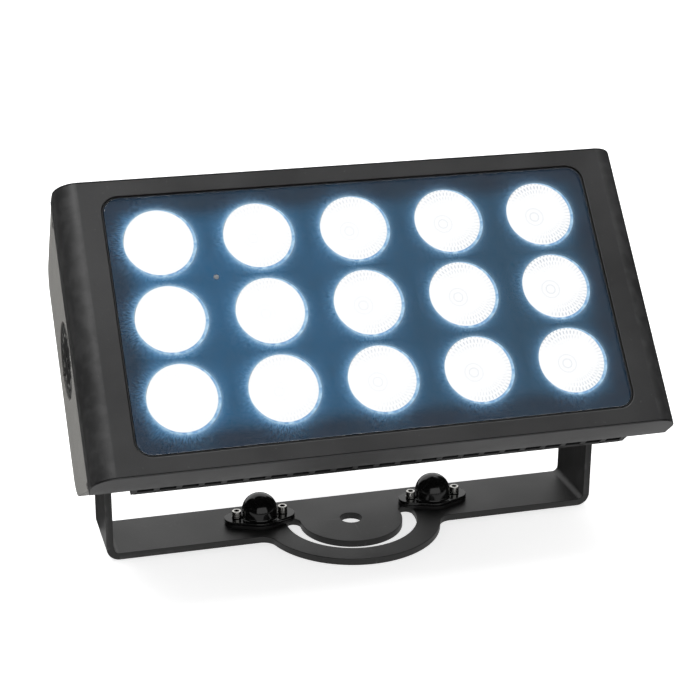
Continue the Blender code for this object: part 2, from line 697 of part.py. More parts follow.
def add_quick_locks(gloss, steel, rubber):
    """Two quick-lock receptacles: keyed plate, domed cup with oval flange, screws and washers."""
    for side, x in cup_places():
        centre = (x, CUP_BACK, 0)
        screw_spots = [(x + way * CUP_SCREW_OFFSET, CUP_BACK, 0) for way in (-1, 1)]

        plate = bmesh.new()
        prism(plate, cup_outline(centre), "Z", CAM_PLATE_BOTTOM, CAM_PLATE_TOP)
        cam = add_object("cam_plate_" + side, plate, rubber)
        key = bmesh.new()
        rod(key, "Z", centre, KEY_RADIUS, 0, CAM_PLATE_TOP + PAST)
        cut(cam, "cam_plate_hole_" + side, key)
        keyway = bmesh.new()
        half_way = (KEY_LENGTH / 2, KEY_WIDTH / 2)
        block(
            keyway,
            (x - half_way[0], CUP_BACK - half_way[1], 0),
            (x + half_way[0], CUP_BACK + half_way[1], CAM_PLATE_TOP + PAST),
        )
        for spot in screw_spots:
            rod(keyway, "Z", spot, M3[0] + SHANK_PLAY, 0, CAM_PLATE_TOP + PAST, BORE_STEPS)
        cut(cam, "cam_plate_keyway_" + side, keyway)

        flange = bmesh.new()
        prism(flange, cup_outline(centre), "Z", FLANGE_BOTTOM, FLANGE_TOP)
        cup = add_object("quick_lock_" + side, flange, gloss)
        dome = bmesh.new()
        outside = [(0.0, FLANGE_BOTTOM + FUSE), (CUP_RADIUS, FLANGE_BOTTOM + FUSE)]
        turned(dome, outside + cup_wall_profile(CUP_RADIUS, CUP_TOP), "Z", centre, ROUND_STEPS)
        fuse(cup, "quick_lock_dome_" + side, dome)
        hollow = bmesh.new()
        inside = [(0.0, 0.0), (CUP_BORE_RADIUS, 0.0)]
        inside += cup_wall_profile(CUP_BORE_RADIUS, CUP_TOP - CUP_WALL)
        turned(hollow, inside, "Z", centre, ROUND_STEPS)
        for spot in screw_spots:
            rod(hollow, "Z", spot, M3[0] + SHANK_PLAY, 0, CUP_SHOULDER, BORE_STEPS)
        cut(cup, "quick_lock_hollow_" + side, hollow)

        under_washer = FLANGE_TOP + FIT
        seat_height = under_washer + CUP_WASHER[1]
        for number, spot in enumerate(screw_spots, 1):
            seat = (spot[0], spot[1], seat_height)
            name = f"quick_lock_screw_{side}_{number}"
            add_screw(name, seat, "Z", 1, M3, seat_height - SCREW_END, steel, CUP_WASHER)


def add_tilt_pivots(satin, brass, rubber, steel):
    """Scale cap, pivot pin and friction ring at each arm head, all fixed to the yoke."""
    axis_point = (0, SWIVEL_Y, PIVOT_HEIGHT)
    head_seat = CAP_FACE - M4[2] - FIT
    screw_length = head_seat - ARM_INNER + CAP_SCREW_GRIP
    for name, side in (("left", -1), ("right", 1)):
        cap_blank = bmesh.new()
        edge = CAP_RECESS
        profile = [
            (0.0, side * CAP_SEAT),
            (CAP_RADIUS, side * CAP_SEAT),
            (CAP_RADIUS, side * (CAP_FACE - edge)),
            (CAP_RADIUS - edge, side * CAP_FACE),
            (0.0, side * CAP_FACE),
        ]
        turned(cap_blank, profile, "X", axis_point, CAP_STEPS)
        cap = add_object("scale_cap_" + name, cap_blank, satin)
        counterbores = bmesh.new()
        for place in cap_screw_places(0):
            outer = side * (CAP_FACE + PAST)
            rod(counterbores, "X", place, M4[1] + HEAD_PLAY, side * (head_seat - FIT), outer)
        cut(cap, "scale_cap_counterbores_" + name, counterbores)
        shanks = bmesh.new()
        for place in cap_screw_places(0):
            rod(shanks, "X", place, M4[0] + SHANK_PLAY, side * (CAP_SEAT - PAST), side * CAP_FACE, BORE_STEPS)
        cut(cap, "scale_cap_bores_" + name, shanks)
        for number, seat in enumerate(cap_screw_places(side * head_seat), 1):
            screw_name = f"scale_cap_screw_{name}_{number}"
            add_screw(screw_name, seat, "X", side, M4, screw_length, steel)

        pin_blank = bmesh.new()
        rod(pin_blank, "X", axis_point, PIN_RADIUS, side * PIN_END, side * (ARM_INNER - FIT), ROUND_STEPS)
        pin = add_object("pivot_pin_" + name, pin_blank, brass)
        taps = bmesh.new()
        tap_end = ARM_INNER - CAP_SCREW_GRIP - PAST
        for place in cap_screw_places(0):
            rod(taps, "X", place, M4[0] + SHANK_PLAY, side * tap_end, side * (ARM_INNER + PAST), BORE_STEPS)
        cut(pin, "pivot_pin_taps_" + name, taps)

        ring_blank = bmesh.new()
        inner, outer = HALF_SINK + FIT, ARM_INNER - FIT
        bore = PIN_RADIUS + PIN_PLAY
        ring = [
            (bore, side * inner),
            (FRICTION_RADIUS, side * inner),
            (FRICTION_RADIUS, side * outer),
            (bore, side * outer),
        ]
        turned(ring_blank, ring, "X", axis_point, ROUND_STEPS, closed=True)
        add_object("friction_ring_" + name, ring_blank, rubber)


# Head: front frame and optics

def add_front_frame(head, bezel_black, rubber, glass):
    """Bezel with its window rebate, the gasket in it and the glass."""
    front, rear = at_depth(0), at_depth(BEZEL_DEPTH)
    corners = [
        (-HALF_WIDTH, rear, 0),
        (-HALF_WIDTH, front, BEZEL_SIDE_RADIUS),
        (HALF_WIDTH, front, BEZEL_SIDE_RADIUS),
        (HALF_WIDTH, rear, 0),
    ]
    blank = bmesh.new()
    prism(blank, filleted(corners, 2 * CORNER_STEPS), "Z", -HALF_HEIGHT, HALF_HEIGHT)
    bezel = add_object("front_bezel", blank, bezel_black, head)
    rebate = bmesh.new()
    window = rounded_rectangle(WINDOW_WIDTH, WINDOW_HEIGHT, WINDOW_RADIUS)
    prism(rebate, window, "Y", at_depth(-PAST), at_depth(REBATE_DEPTH))
    cut(bezel, "bezel_rebate", rebate)
    cavity = bmesh.new()
    opening = rounded_rectangle(CAVITY_WIDTH, CAVITY_HEIGHT, CAVITY_RADIUS)
    prism(cavity, opening, "Y", at_depth(REBATE_DEPTH - FUSE), at_depth(BEZEL_DEPTH + PAST))
    cut(bezel, "bezel_cavity", cavity)
    taps = bmesh.new()
    tap_end = BEZEL_DEPTH - BEZEL_SCREW_GRIP - PAST
    for x, z in bezel_screw_spots():
        spot = (x, 0, z)
        rod(taps, "Y", spot, M3[0] + SHANK_PLAY, at_depth(tap_end), at_depth(BEZEL_DEPTH + PAST), BORE_STEPS)
    cut(bezel, "bezel_taps", taps)

    ring = bmesh.new()
    outer = rounded_rectangle(WINDOW_WIDTH - 2 * FIT, WINDOW_HEIGHT - 2 * FIT, WINDOW_RADIUS - FIT)
    prism(ring, outer, "Y", at_depth(GASKET_RECESS), at_depth(REBATE_DEPTH - FIT))
    gasket = add_object("window_gasket", ring, rubber, head)
    pocket_margin = 2 * (FIT + GASKET_WALL)
    pocket_radius = WINDOW_RADIUS - FIT - GASKET_WALL
    pocket = bmesh.new()
    seat = rounded_rectangle(WINDOW_WIDTH - pocket_margin, WINDOW_HEIGHT - pocket_margin, pocket_radius)
    prism(pocket, seat, "Y", at_depth(0), at_depth(GLASS_BACK + FIT))
    cut(gasket, "gasket_pocket", pocket)
    mouth = bmesh.new()
    prism(mouth, opening, "Y", at_depth(0), at_depth(REBATE_DEPTH + PAST))
    cut(gasket, "gasket_mouth", mouth)

    pane = bmesh.new()
    pane_margin = pocket_margin + 2 * FIT
    outline = rounded_rectangle(
        WINDOW_WIDTH - pane_margin, WINDOW_HEIGHT - pane_margin, pocket_radius - FIT
    )
    prism(pane, outline, "Y", at_depth(GLASS_RECESS), at_depth(GLASS_BACK))
    add_object("front_glass", pane, glass, head)


def bezel_screw_spots():
    """Screws along the top and bottom edges, each midway between two fins."""
    rows = (-BEZEL_SCREW_ROW, BEZEL_SCREW_ROW)
    return [(step * FIN_PITCH, z) for z in rows for step in BEZEL_SCREW_STEPS]


def lens_spots():
    """Centres of the lenses with their row and column numbers, row 1 at the top."""
    spots = []
    for row in range(LENS_ROWS):
        for column in range(LENS_COLUMNS):
            x = (column - (LENS_COLUMNS - 1) / 2) * LENS_PITCH_X
            z = LENS_RAISE + ((LENS_ROWS - 1) / 2 - row) * LENS_PITCH_Z
            spots.append((row + 1, column + 1, x, z))
    return spots


def post_spots():
    """Places of the panel's posts: the middle of every four lenses."""
    spots = []
    for row in range(LENS_ROWS - 1):
        for column in range(LENS_COLUMNS - 1):
            x = (column - (LENS_COLUMNS - 2) / 2) * LENS_PITCH_X
            z = LENS_RAISE + ((LENS_ROWS - 2) / 2 - row) * LENS_PITCH_Z
            spots.append((x, z))
    return spots


def add_optics(head, panel_black, lens_clear, board_white, sensor_grey):
    """Panel with its holes, posts and sunk sensor, fifteen lenses, and the board with its emitters."""
    blank = bmesh.new()
    outline = rounded_rectangle(CAVITY_WIDTH - 2 * FIT, CAVITY_HEIGHT - 2 * FIT, CAVITY_RADIUS - FIT)
    prism(blank, outline, "Y", at_depth(PANEL_DEPTH), at_depth(PANEL_BACK))
    panel = add_object("lens_panel", blank, panel_black, head)
    holes = bmesh.new()
    for _, _, x, z in lens_spots():
        spot = (x, 0, z)
        low, high = at_depth(PANEL_DEPTH - PAST), at_depth(PANEL_BACK + PAST)
        rod(holes, "Y", spot, LENS_RADIUS + FIT, low, high, LENS_STEPS)
    sensor_x, sensor_z = post_spots()[0]
    sensor_spot = (sensor_x, 0, sensor_z)
    low, high = at_depth(PANEL_DEPTH - PAST), at_depth(PANEL_DEPTH + SENSOR_HEIGHT + FIT)
    rod(holes, "Y", sensor_spot, SENSOR_RADIUS + FIT, low, high, SMALL_STEPS)
    cut(panel, "panel_holes", holes)
    posts = bmesh.new()
    for x, z in post_spots():
        low, high = at_depth(PANEL_BACK - FUSE), at_depth(BOARD_FRONT - FIT)
        rod(posts, "Y", (x, 0, z), PANEL_POST_RADIUS, low, high, BORE_STEPS)
    fuse(panel, "panel_posts", posts)

    shape = bmesh.new()
    profile = [
        (0.0, at_depth(LENS_FACE)),
        (LENS_RADIUS, at_depth(LENS_FACE)),
        (LENS_RADIUS, at_depth(LENS_FACE + LENS_RIM)),
        (LENS_BASE_RADIUS, at_depth(LENS_BASE)),
        (0.0, at_depth(LENS_BASE)),
    ]
    turned(shape, profile, "Y", (0, 0, 0), LENS_STEPS)
    lens_mesh = None
    chips = bmesh.new()
    for row, column, x, z in lens_spots():
        name = f"lens_{row}_{column}"
        if lens_mesh is None:
            lens = add_object(name, shape, lens_clear, head)
            lens_mesh = lens.data
        else:
            lens = bpy.data.objects.new(name, lens_mesh)
            lens.parent = head
            bpy.context.collection.objects.link(lens)
        lens.location = (x, 0, z)
        half = EMITTER_SIDE / 2
        near, far = at_depth(EMITTER_FRONT), at_depth(BOARD_FRONT + FUSE)
        block(chips, (x - half, near, z - half), (x + half, far, z + half))

    sheet = bmesh.new()
    margin = 2 * BOARD_MARGIN
    outline = rounded_rectangle(CAVITY_WIDTH - margin, CAVITY_HEIGHT - margin, CAVITY_RADIUS)
    prism(sheet, outline, "Y", at_depth(BOARD_FRONT), at_depth(BOARD_FRONT + BOARD_THICKNESS))
    board = add_object("led_board", sheet, board_white, head)
    fuse(board, "led_emitters", chips)
    port = bmesh.new()
    low, high = at_depth(BOARD_FRONT - PAST), at_depth(BODY_FRONT + PAST)
    rod(port, "Y", (LENS_PITCH_X / 2, 0, 0), CABLE_PORT_RADIUS, low, high)
    cut(board, "led_board_port", port)

    dot = bmesh.new()
    rod(dot, "Y", sensor_spot, SENSOR_RADIUS, at_depth(PANEL_DEPTH), at_depth(PANEL_DEPTH + SENSOR_HEIGHT))
    add_object("panel_sensor", dot, sensor_grey, head)


# Head: heat sink and cheeks

def comb_outline():
    """Plan view of the heat sink in (x, y): a base plate with equal fins behind it."""
    tip = at_depth(BODY_DEPTH + PAST)
    root = at_depth(SINK_REAR)
    outline = [(-HALF_SINK, at_depth(BODY_FRONT)), (HALF_SINK, at_depth(BODY_FRONT))]
    for i in reversed(range(FIN_COUNT)):
        x = (i - (FIN_COUNT - 1) / 2) * FIN_PITCH
        right, left = x + FIN_THICKNESS / 2, x - FIN_THICKNESS / 2
        outline += [(right, root), (right, tip), (left, tip), (left, root)]
    last = outline[2]
    if abs(last[0] - HALF_SINK) < FUSE:
        outline.pop(2)
        outline.pop()
    return outline


def sink_side_outline():
    """Side profile of the heat sink in (depth station, height): a straight base, then tapered fins."""
    fins = body_outline(INNER_HALF_HEIGHT, SINK_REAR, SINK_TIPS)
    front, root = at_depth(BODY_FRONT - PAST), at_depth(SINK_REAR)
    high = SINK_BASE_HALF_HEIGHT + PAST
    return [(front, -high), (root, -high)] + fins + [(root, high), (front, high)]


def add_heat_sink(head, anodised):
    """Finned heat sink with its pivot blocks, the pedestal of the housing and its bores."""
    comb = bmesh.new()
    prism(comb, comb_outline(), "Z", -SINK_BASE_HALF_HEIGHT, SINK_BASE_HALF_HEIGHT)
    sink = add_object("heat_sink", comb, anodised, head)
    side = bmesh.new()
    prism(side, sink_side_outline(), "X", -HALF_SINK - PAST, HALF_SINK + PAST)
    combine(sink, "INTERSECT", "heat_sink_side_view", side)

    recess = bmesh.new()
    half_width = HOUSING_WIDTH / 2 + HOUSING_AIR
    half_height = HOUSING_HEIGHT / 2 + HOUSING_AIR
    recess_front = at_depth(HOUSING_FRONT - FIT)
    block(
        recess,
        (-half_width, recess_front, -half_height),
        (half_width, at_depth(BODY_DEPTH + PAST), half_height),
    )
    cut(sink, "heat_sink_recess", recess)

    solid = bmesh.new()
    block(
        solid,
        (-PEDESTAL_HALF_WIDTH, at_depth(SINK_REAR - FUSE), -PEDESTAL_HALF_HEIGHT),
        (PEDESTAL_HALF_WIDTH, recess_front, PEDESTAL_HALF_HEIGHT),
    )
    fuse(sink, "heat_sink_pedestal", solid)
    blocks = bmesh.new()
    for side_sign in (-1, 1):
        inner, outer = sorted((side_sign * (HALF_SINK - PIVOT_BLOCK_LENGTH), side_sign * HALF_SINK))
        block(
            blocks,
            (inner, at_depth(SINK_REAR - FUSE), -PIVOT_BLOCK_HALF),
            (outer, PIVOT_BLOCK_HALF, PIVOT_BLOCK_HALF),
        )
    fuse(sink, "heat_sink_pivot_blocks", blocks)

    bores = bmesh.new()
    rod(
        bores, "Y", (LENS_PITCH_X / 2, 0, 0), CABLE_PORT_RADIUS, at_depth(BODY_FRONT - PAST),
        at_depth(HOUSING_FRONT + PAST),
    )
    for side_sign in (-1, 1):
        outer = side_sign * (HALF_SINK + PAST)
        rod(bores, "X", (0, 0, 0), PIN_RADIUS + PIN_PLAY, side_sign * (PIN_END - FIT), outer, ROUND_STEPS)
        for z in CHEEK_SCREW_HEIGHTS:
            inner = side_sign * (HALF_SINK - CHEEK_SCREW_GRIP - FIT)
            spot = (0, at_depth(CHEEK_SCREW_DEPTH), z)
            rod(bores, "X", spot, M2[0] + SHANK_PLAY, inner, outer, BORE_STEPS)
    cut(sink, "heat_sink_bores", bores)

    seats = [(x, at_depth(SINK_REAR), z) for x, z in bezel_screw_spots()]
    fuse_screws(sink, seats, "Y", 1, M3, SINK_REAR - BEZEL_DEPTH + BEZEL_SCREW_GRIP)


def add_cheeks(head, cheek_black):
    """Side cheeks with the round opening for the scale cap, an index notch, and their two feet."""
    for name, side in (("left", -1), ("right", 1)):
        pod = bmesh.new()
        outline = body_outline(CHEEK_HALF_HEIGHT, BODY_FRONT, BODY_DEPTH)
        prism(pod, outline, "X", side * CHEEK_INNER, side * HALF_WIDTH)
        cheek = add_object("side_cheek_" + name, pod, cheek_black, head)

        feet = bmesh.new()
        foot_inner = side * (HALF_SINK + FIT)
        foot_outer = side * (CHEEK_INNER + FUSE)
        fall = math.tan(BODY_TAPER)
        web_rear = BODY_FRONT + CHEEK_WEB_DEPTH
        web = [
            (at_depth(BODY_FRONT), CHEEK_WEB_LOW),
            (at_depth(web_rear), CHEEK_WEB_LOW),
            (at_depth(web_rear), INNER_HALF_HEIGHT - CHEEK_WEB_DEPTH * fall),
            (at_depth(BODY_FRONT), INNER_HALF_HEIGHT),
        ]
        prism(feet, web, "X", foot_inner, foot_outer)
        lug_rear = BODY_FRONT + CHEEK_LUG_DEPTH
        lug = [
            (at_depth(BODY_FRONT), -INNER_HALF_HEIGHT),
            (at_depth(lug_rear), -INNER_HALF_HEIGHT + CHEEK_LUG_DEPTH * fall),
            (at_depth(lug_rear), -INNER_HALF_HEIGHT + CHEEK_LUG_HEIGHT),
            (at_depth(BODY_FRONT), -INNER_HALF_HEIGHT + CHEEK_LUG_HEIGHT),
        ]
        prism(feet, lug, "X", foot_inner, foot_outer)
        fuse(cheek, "cheek_feet_" + name, feet)

        openings = bmesh.new()
        low, high = side * (CHEEK_INNER - PAST), side * (HALF_WIDTH + PAST)
        rod(openings, "X", (0, 0, 0), CAP_RADIUS + CAP_PLAY, low, high, CAP_STEPS)
        head_seat = HALF_WIDTH - M2[2] - FIT
        spots = [(at_depth(CHEEK_SCREW_DEPTH), z) for z in CHEEK_SCREW_HEIGHTS]
        for y, z in spots:
            rod(openings, "X", (0, y, z), CHEEK_SCREW_POCKET, side * head_seat, high)
        cut(cheek, "cheek_openings_" + name, openings)
        notch = bmesh.new()
        rim = CAP_RADIUS + CAP_PLAY
        wedge = [
            (rim - FUSE, -NOTCH_WIDTH / 2),
            (rim + NOTCH_LENGTH, 0),
            (rim - FUSE, NOTCH_WIDTH / 2),
        ]
        prism(notch, wedge, "X", side * (HALF_WIDTH - NOTCH_DEPTH), side * (HALF_WIDTH + PAST))
        cut(cheek, "cheek_notch_" + name, notch)
        seats = [(side * head_seat, y, z) for y, z in spots]
        fuse_screws(cheek, seats, "X", side, M2, head_seat - HALF_SINK + CHEEK_SCREW_GRIP)


# Head: driver housing and its cover

def boss_spots():
    """Screw bosses of the housing: four corners and the middle of both sides."""
    return [(x, z) for x in (-BOSS_COLUMN, BOSS_COLUMN) for z in (-BOSS_ROW, 0, BOSS_ROW)]


def socket_spots():
    """Sockets along the cover with their names."""
    middle = (len(SOCKET_NAMES) - 1) / 2
    return [(name, (i - middle) * SOCKET_PITCH) for i, name in enumerate(SOCKET_NAMES)]


def button_spots():
    """Buttons along the cover with their names."""
    middle = (len(BUTTON_NAMES) - 1) / 2
    return [(name, (i - middle) * BUTTON_PITCH) for i, name in enumerate(BUTTON_NAMES)]


def add_housing(head, cast, rubber):
    """Tub that holds the electronics, with its screw bosses, and its gasket."""
    tub = bmesh.new()
    outside = rounded_rectangle(HOUSING_WIDTH, HOUSING_HEIGHT, HOUSING_RADIUS)
    prism(tub, outside, "Y", at_depth(HOUSING_FRONT), at_depth(HOUSING_REAR))
    housing = add_object("driver_housing", tub, cast, head)
    hollow = bmesh.new()
    inner_radius = HOUSING_RADIUS - HOUSING_WALL
    inner_size = (HOUSING_WIDTH - 2 * HOUSING_WALL, HOUSING_HEIGHT - 2 * HOUSING_WALL)
    inside = rounded_rectangle(*inner_size, inner_radius)
    prism(hollow, inside, "Y", at_depth(HOUSING_FRONT + HOUSING_WALL), at_depth(HOUSING_REAR + PAST))
    cut(housing, "housing_hollow", hollow)
    bosses = bmesh.new()
    for x, z in boss_spots():
        low, high = at_depth(HOUSING_FRONT + HOUSING_WALL - FUSE), at_depth(HOUSING_REAR)
        rod(bosses, "Y", (x, 0, z), BOSS_RADIUS, low, high, BORE_STEPS)
    fuse(housing, "housing_bosses", bosses)
    bores = bmesh.new()
    low, high = at_depth(HOUSING_FRONT - PAST), at_depth(HOUSING_FRONT + HOUSING_WALL + PAST)
    rod(bores, "Y", (LENS_PITCH_X / 2, 0, 0), CABLE_PORT_RADIUS, low, high)
    for x, z in boss_spots():
        low = at_depth(HOUSING_REAR - COVER_SCREW_GRIP - PAST)
        rod(bores, "Y", (x, 0, z), M3[0] + SHANK_PLAY, low, at_depth(HOUSING_REAR + PAST), BORE_STEPS)
    cut(housing, "housing_bores", bores)

    ring = bmesh.new()
    outline = rounded_rectangle(HOUSING_WIDTH - 2 * FIT, HOUSING_HEIGHT - 2 * FIT, HOUSING_RADIUS - FIT)
    low = at_depth(HOUSING_REAR + FIT)
    high = at_depth(HOUSING_REAR + FIT + COVER_GASKET_THICKNESS)
    prism(ring, outline, "Y", low, high)
    gasket = add_object("cover_gasket", ring, rubber, head)
    mouth = bmesh.new()
    prism(mouth, inside, "Y", at_depth(HOUSING_REAR - PAST), at_depth(COVER_FRONT + PAST))
    cut(gasket, "cover_gasket_mouth", mouth)


def control_post_spots():
    """Corners of the control board, where the cover's posts stand."""
    half_width = CONTROL_BOARD_WIDTH / 2 - 2 * CONTROL_POST_RADIUS
    half_height = CONTROL_BOARD_HEIGHT / 2 - 2 * CONTROL_POST_RADIUS
    row = BOARD_TOP - CONTROL_BOARD_HEIGHT / 2
    return [
        (side * half_width, row + level * half_height)
        for side in (-1, 1)
        for level in (-1, 1)
    ]


def add_rear_cover(head, cast):
    """Cover plate with cut-outs for the display, buttons, sockets, vent and screws."""
    plate = bmesh.new()
    outline = rounded_rectangle(HOUSING_WIDTH, HOUSING_HEIGHT, HOUSING_RADIUS)
    prism(plate, outline, "Y", at_depth(COVER_FRONT), at_depth(COVER_REAR))
    cover = add_object("rear_cover", plate, cast, head)

    posts = bmesh.new()
    for x, z in control_post_spots():
        low = at_depth(COVER_FRONT - CONTROL_POST + FIT)
        rod(posts, "Y", (x, 0, z), CONTROL_POST_RADIUS, low, at_depth(COVER_FRONT + FUSE), BORE_STEPS)
    fuse(cover, "cover_posts", posts)

    low, high = at_depth(COVER_FRONT - PAST), at_depth(COVER_REAR + PAST)
    holes = bmesh.new()
    opening = rounded_rectangle(
        DISPLAY_WIDTH - 2 * DISPLAY_EDGE, DISPLAY_HEIGHT - 2 * DISPLAY_EDGE, FUSE, (0, DISPLAY_ROW)
    )
    prism(holes, opening, "Y", low, high)
    for _, x in button_spots():
        rod(holes, "Y", (x, 0, BUTTON_ROW), BUTTON_RADIUS + BUTTON_PLAY, low, high)
    for _, x in socket_spots():
        rod(holes, "Y", (x, 0, SOCKET_ROW), SOCKET_BARREL_RADIUS + 2 * FIT, low, high, ROUND_STEPS)
    rod(holes, "Y", (VENT_COLUMN, 0, DISPLAY_ROW), VENT_STEM_RADIUS + FIT, low, high)
    cut(cover, "cover_holes", holes)
    pocket = bmesh.new()
    outline = rounded_rectangle(DISPLAY_WIDTH + 2 * FIT, DISPLAY_HEIGHT + 2 * FIT, 4 * FIT, (0, DISPLAY_ROW))
    prism(pocket, outline, "Y", at_depth(COVER_REAR - DISPLAY_THICKNESS - 2 * FIT), high)
    cut(cover, "cover_display_pocket", pocket)
    seats = [(x, at_depth(COVER_REAR), z) for x, z in boss_spots()]
    fuse_screws(cover, seats, "Y", 1, M3, COVER_REAR - HOUSING_REAR + COVER_SCREW_GRIP)


def add_controls(head, display_black, button_grey, board_green):
    """Display window, four push buttons and the board that they work on."""
    pane = bmesh.new()
    outline = rounded_rectangle(DISPLAY_WIDTH, DISPLAY_HEIGHT, 3 * FIT, (0, DISPLAY_ROW))
    prism(pane, outline, "Y", at_depth(COVER_REAR - DISPLAY_THICKNESS - FIT), at_depth(COVER_REAR - FIT))
    add_object("display_window", pane, display_black, head)

    shape = bmesh.new()
    face = BUTTON_FLANGE + FIT + COVER_THICKNESS + BUTTON_PROUD
    profile = [
        (0.0, 0.0),
        (BUTTON_FLANGE_RADIUS, 0.0),
        (BUTTON_FLANGE_RADIUS, BUTTON_FLANGE),
        (BUTTON_RADIUS, BUTTON_FLANGE),
        (BUTTON_RADIUS, face - BUTTON_EDGE),
        (BUTTON_RADIUS - BUTTON_EDGE, face),
        (0.0, face),
    ]
    turned(shape, profile, "Y", (0, 0, 0), SMALL_STEPS)
    button_mesh = None
    for name, x in button_spots():
        if button_mesh is None:
            button = add_object(name, shape, button_grey, head)
            button_mesh = button.data
        else:
            button = bpy.data.objects.new(name, button_mesh)
            button.parent = head
            bpy.context.collection.objects.link(button)
        button.location = (x, at_depth(COVER_FRONT - FIT - BUTTON_FLANGE), BUTTON_ROW)

    sheet = bmesh.new()
    board_rear = COVER_FRONT - CONTROL_POST
    centre = (0, BOARD_TOP - CONTROL_BOARD_HEIGHT / 2)
    outline = rounded_rectangle(CONTROL_BOARD_WIDTH, CONTROL_BOARD_HEIGHT, CONTROL_POST_RADIUS, centre)
    prism(sheet, outline, "Y", at_depth(board_rear - BOARD_THICKNESS), at_depth(board_rear))
    add_object("control_board", sheet, board_green, head)


def contact_turns(name):
    """Angles of a socket's contacts round its axis: three blades for power, an arc of pins for data."""
    if name.startswith("power"):
        return [math.pi / 2 + i * math.tau / POWER_CONTACTS for i in range(POWER_CONTACTS)]
    middle = (DATA_CONTACTS - 1) / 2
    return [math.pi / 2 + (i - middle) * DATA_CONTACT_STEP for i in range(DATA_CONTACTS)]


def add_sockets(head, socket_black):
    """Power and data sockets: barrel, plate and collar, with their contacts in the bore."""
    plate_front = COVER_REAR + FIT
    collar_rear = plate_front + SOCKET_PLATE + SOCKET_COLLAR
    floor = collar_rear - SOCKET_BORE_DEPTH
    for name, x in socket_spots():
        centre = (x, 0, SOCKET_ROW)
        barrel = bmesh.new()
        barrel_front = plate_front - SOCKET_BARREL_LENGTH
        profile = [
            (0.0, at_depth(barrel_front)),
            (SOCKET_BARREL_RADIUS, at_depth(barrel_front)),
            (SOCKET_BARREL_RADIUS, at_depth(plate_front + FUSE)),
            (SOCKET_COLLAR_RADIUS, at_depth(plate_front + FUSE)),
            (SOCKET_COLLAR_RADIUS, at_depth(collar_rear)),
            (0.0, at_depth(collar_rear)),
        ]
        turned(barrel, profile, "Y", centre, ROUND_STEPS)
        socket = add_object(name, barrel, socket_black, head)
        plate = bmesh.new()
        outline = rounded_rectangle(
            SOCKET_PLATE_WIDTH, SOCKET_PLATE_HEIGHT, SOCKET_PLATE_RADIUS, (x, SOCKET_ROW)
        )
        prism(plate, outline, "Y", at_depth(plate_front), at_depth(plate_front + SOCKET_PLATE))
        fuse(socket, name + "_plate", plate)
        bore = bmesh.new()
        contacts = bmesh.new()
        rear = at_depth(collar_rear + PAST)
        tip = at_depth(floor + CONTACT_LENGTH)
        root = at_depth(floor - FUSE)
        rod(bore, "Y", centre, SOCKET_BORE_RADIUS, at_depth(floor), rear, ROUND_STEPS)
        for turn in contact_turns(name):
            spot_x = x + CONTACT_CIRCLE * math.cos(turn)
            spot_z = SOCKET_ROW + CONTACT_CIRCLE * math.sin(turn)
            if name.startswith("power"):
                half_thickness, half_height = POWER_BLADE_THICKNESS / 2, POWER_BLADE_HEIGHT / 2
                low = (spot_x - half_thickness, root, spot_z - half_height)
                block(contacts, low, (spot_x + half_thickness, tip, spot_z + half_height))
            else:
                rod(contacts, "Y", (spot_x, 0, spot_z), DATA_CONTACT_RADIUS, root, tip, BORE_STEPS)
        cut(socket, name + "_bore", bore)
        fuse(socket, name + "_contacts", contacts)


def add_rear_fittings(head, steel, vent_grey):
    """Safety eye on the fins with its screws, and the pressure vent in the cover."""
    base = bmesh.new()
    low, high = SINK_TIPS + FIT, SINK_TIPS + FIT + EYE_BASE_THICKNESS
    outline = rounded_rectangle(EYE_BASE_WIDTH, EYE_BASE_HEIGHT, EYE_ROD_RADIUS, (EYE_COLUMN, EYE_ROW))
    prism(base, outline, "Y", at_depth(low), at_depth(high))
    eye = add_object("safety_eye", base, steel, head)
    loop = bmesh.new()
    half_ring(loop, (EYE_COLUMN, at_depth(high - EYE_ROD_RADIUS / 2), EYE_ROW))
    fuse(eye, "safety_eye_loop", loop)
    spots = [(EYE_COLUMN - FIN_PITCH, EYE_ROW), (EYE_COLUMN + FIN_PITCH, EYE_ROW)]
    seats = [(x, at_depth(high), z) for x, z in spots]
    fuse_screws(eye, seats, "Y", 1, M3, high - SINK_TIPS + EYE_SCREW_GRIP)

    sink = bpy.data.objects["heat_sink"]
    bosses = bmesh.new()
    threads = bmesh.new()
    thread_end = at_depth(SINK_TIPS - EYE_SCREW_GRIP - FIT)
    boss_end = at_depth(SINK_TIPS - EYE_SCREW_GRIP - PAST)
    for x, z in spots:
        rod(bosses, "Y", (x, 0, z), EYE_BOSS_RADIUS, boss_end, at_depth(SINK_TIPS - FIT), BORE_STEPS)
        rod(threads, "Y", (x, 0, z), M3[0] + SHANK_PLAY, thread_end, at_depth(SINK_TIPS + PAST), BORE_STEPS)
    fuse(sink, "heat_sink_eye_bosses", bosses)
    cut(sink, "heat_sink_eye_threads", threads)

    plug = bmesh.new()
    profile = [
        (0.0, at_depth(COVER_FRONT)),
        (VENT_STEM_RADIUS, at_depth(COVER_FRONT)),
        (VENT_STEM_RADIUS, at_depth(COVER_REAR + FIT + FUSE)),
        (VENT_CAP_RADIUS, at_depth(COVER_REAR + FIT + FUSE)),
        (VENT_CAP_RADIUS, at_depth(COVER_REAR + FIT + VENT_HEX_HEIGHT + VENT_CAP_HEIGHT)),
        (0.0, at_depth(COVER_REAR + FIT + VENT_HEX_HEIGHT + VENT_CAP_HEIGHT)),
    ]
    turned(plug, profile, "Y", (VENT_COLUMN, 0, DISPLAY_ROW), SMALL_STEPS)
    vent = add_object("pressure_vent", plug, vent_grey, head)
    hexagon = bmesh.new()
    outline = circle((VENT_COLUMN, DISPLAY_ROW), VENT_HEX_RADIUS, 6)
    low = at_depth(COVER_REAR + FIT)
    prism(hexagon, outline, "Y", low, low + VENT_HEX_HEIGHT)
    fuse(vent, "pressure_vent_hexagon", hexagon)


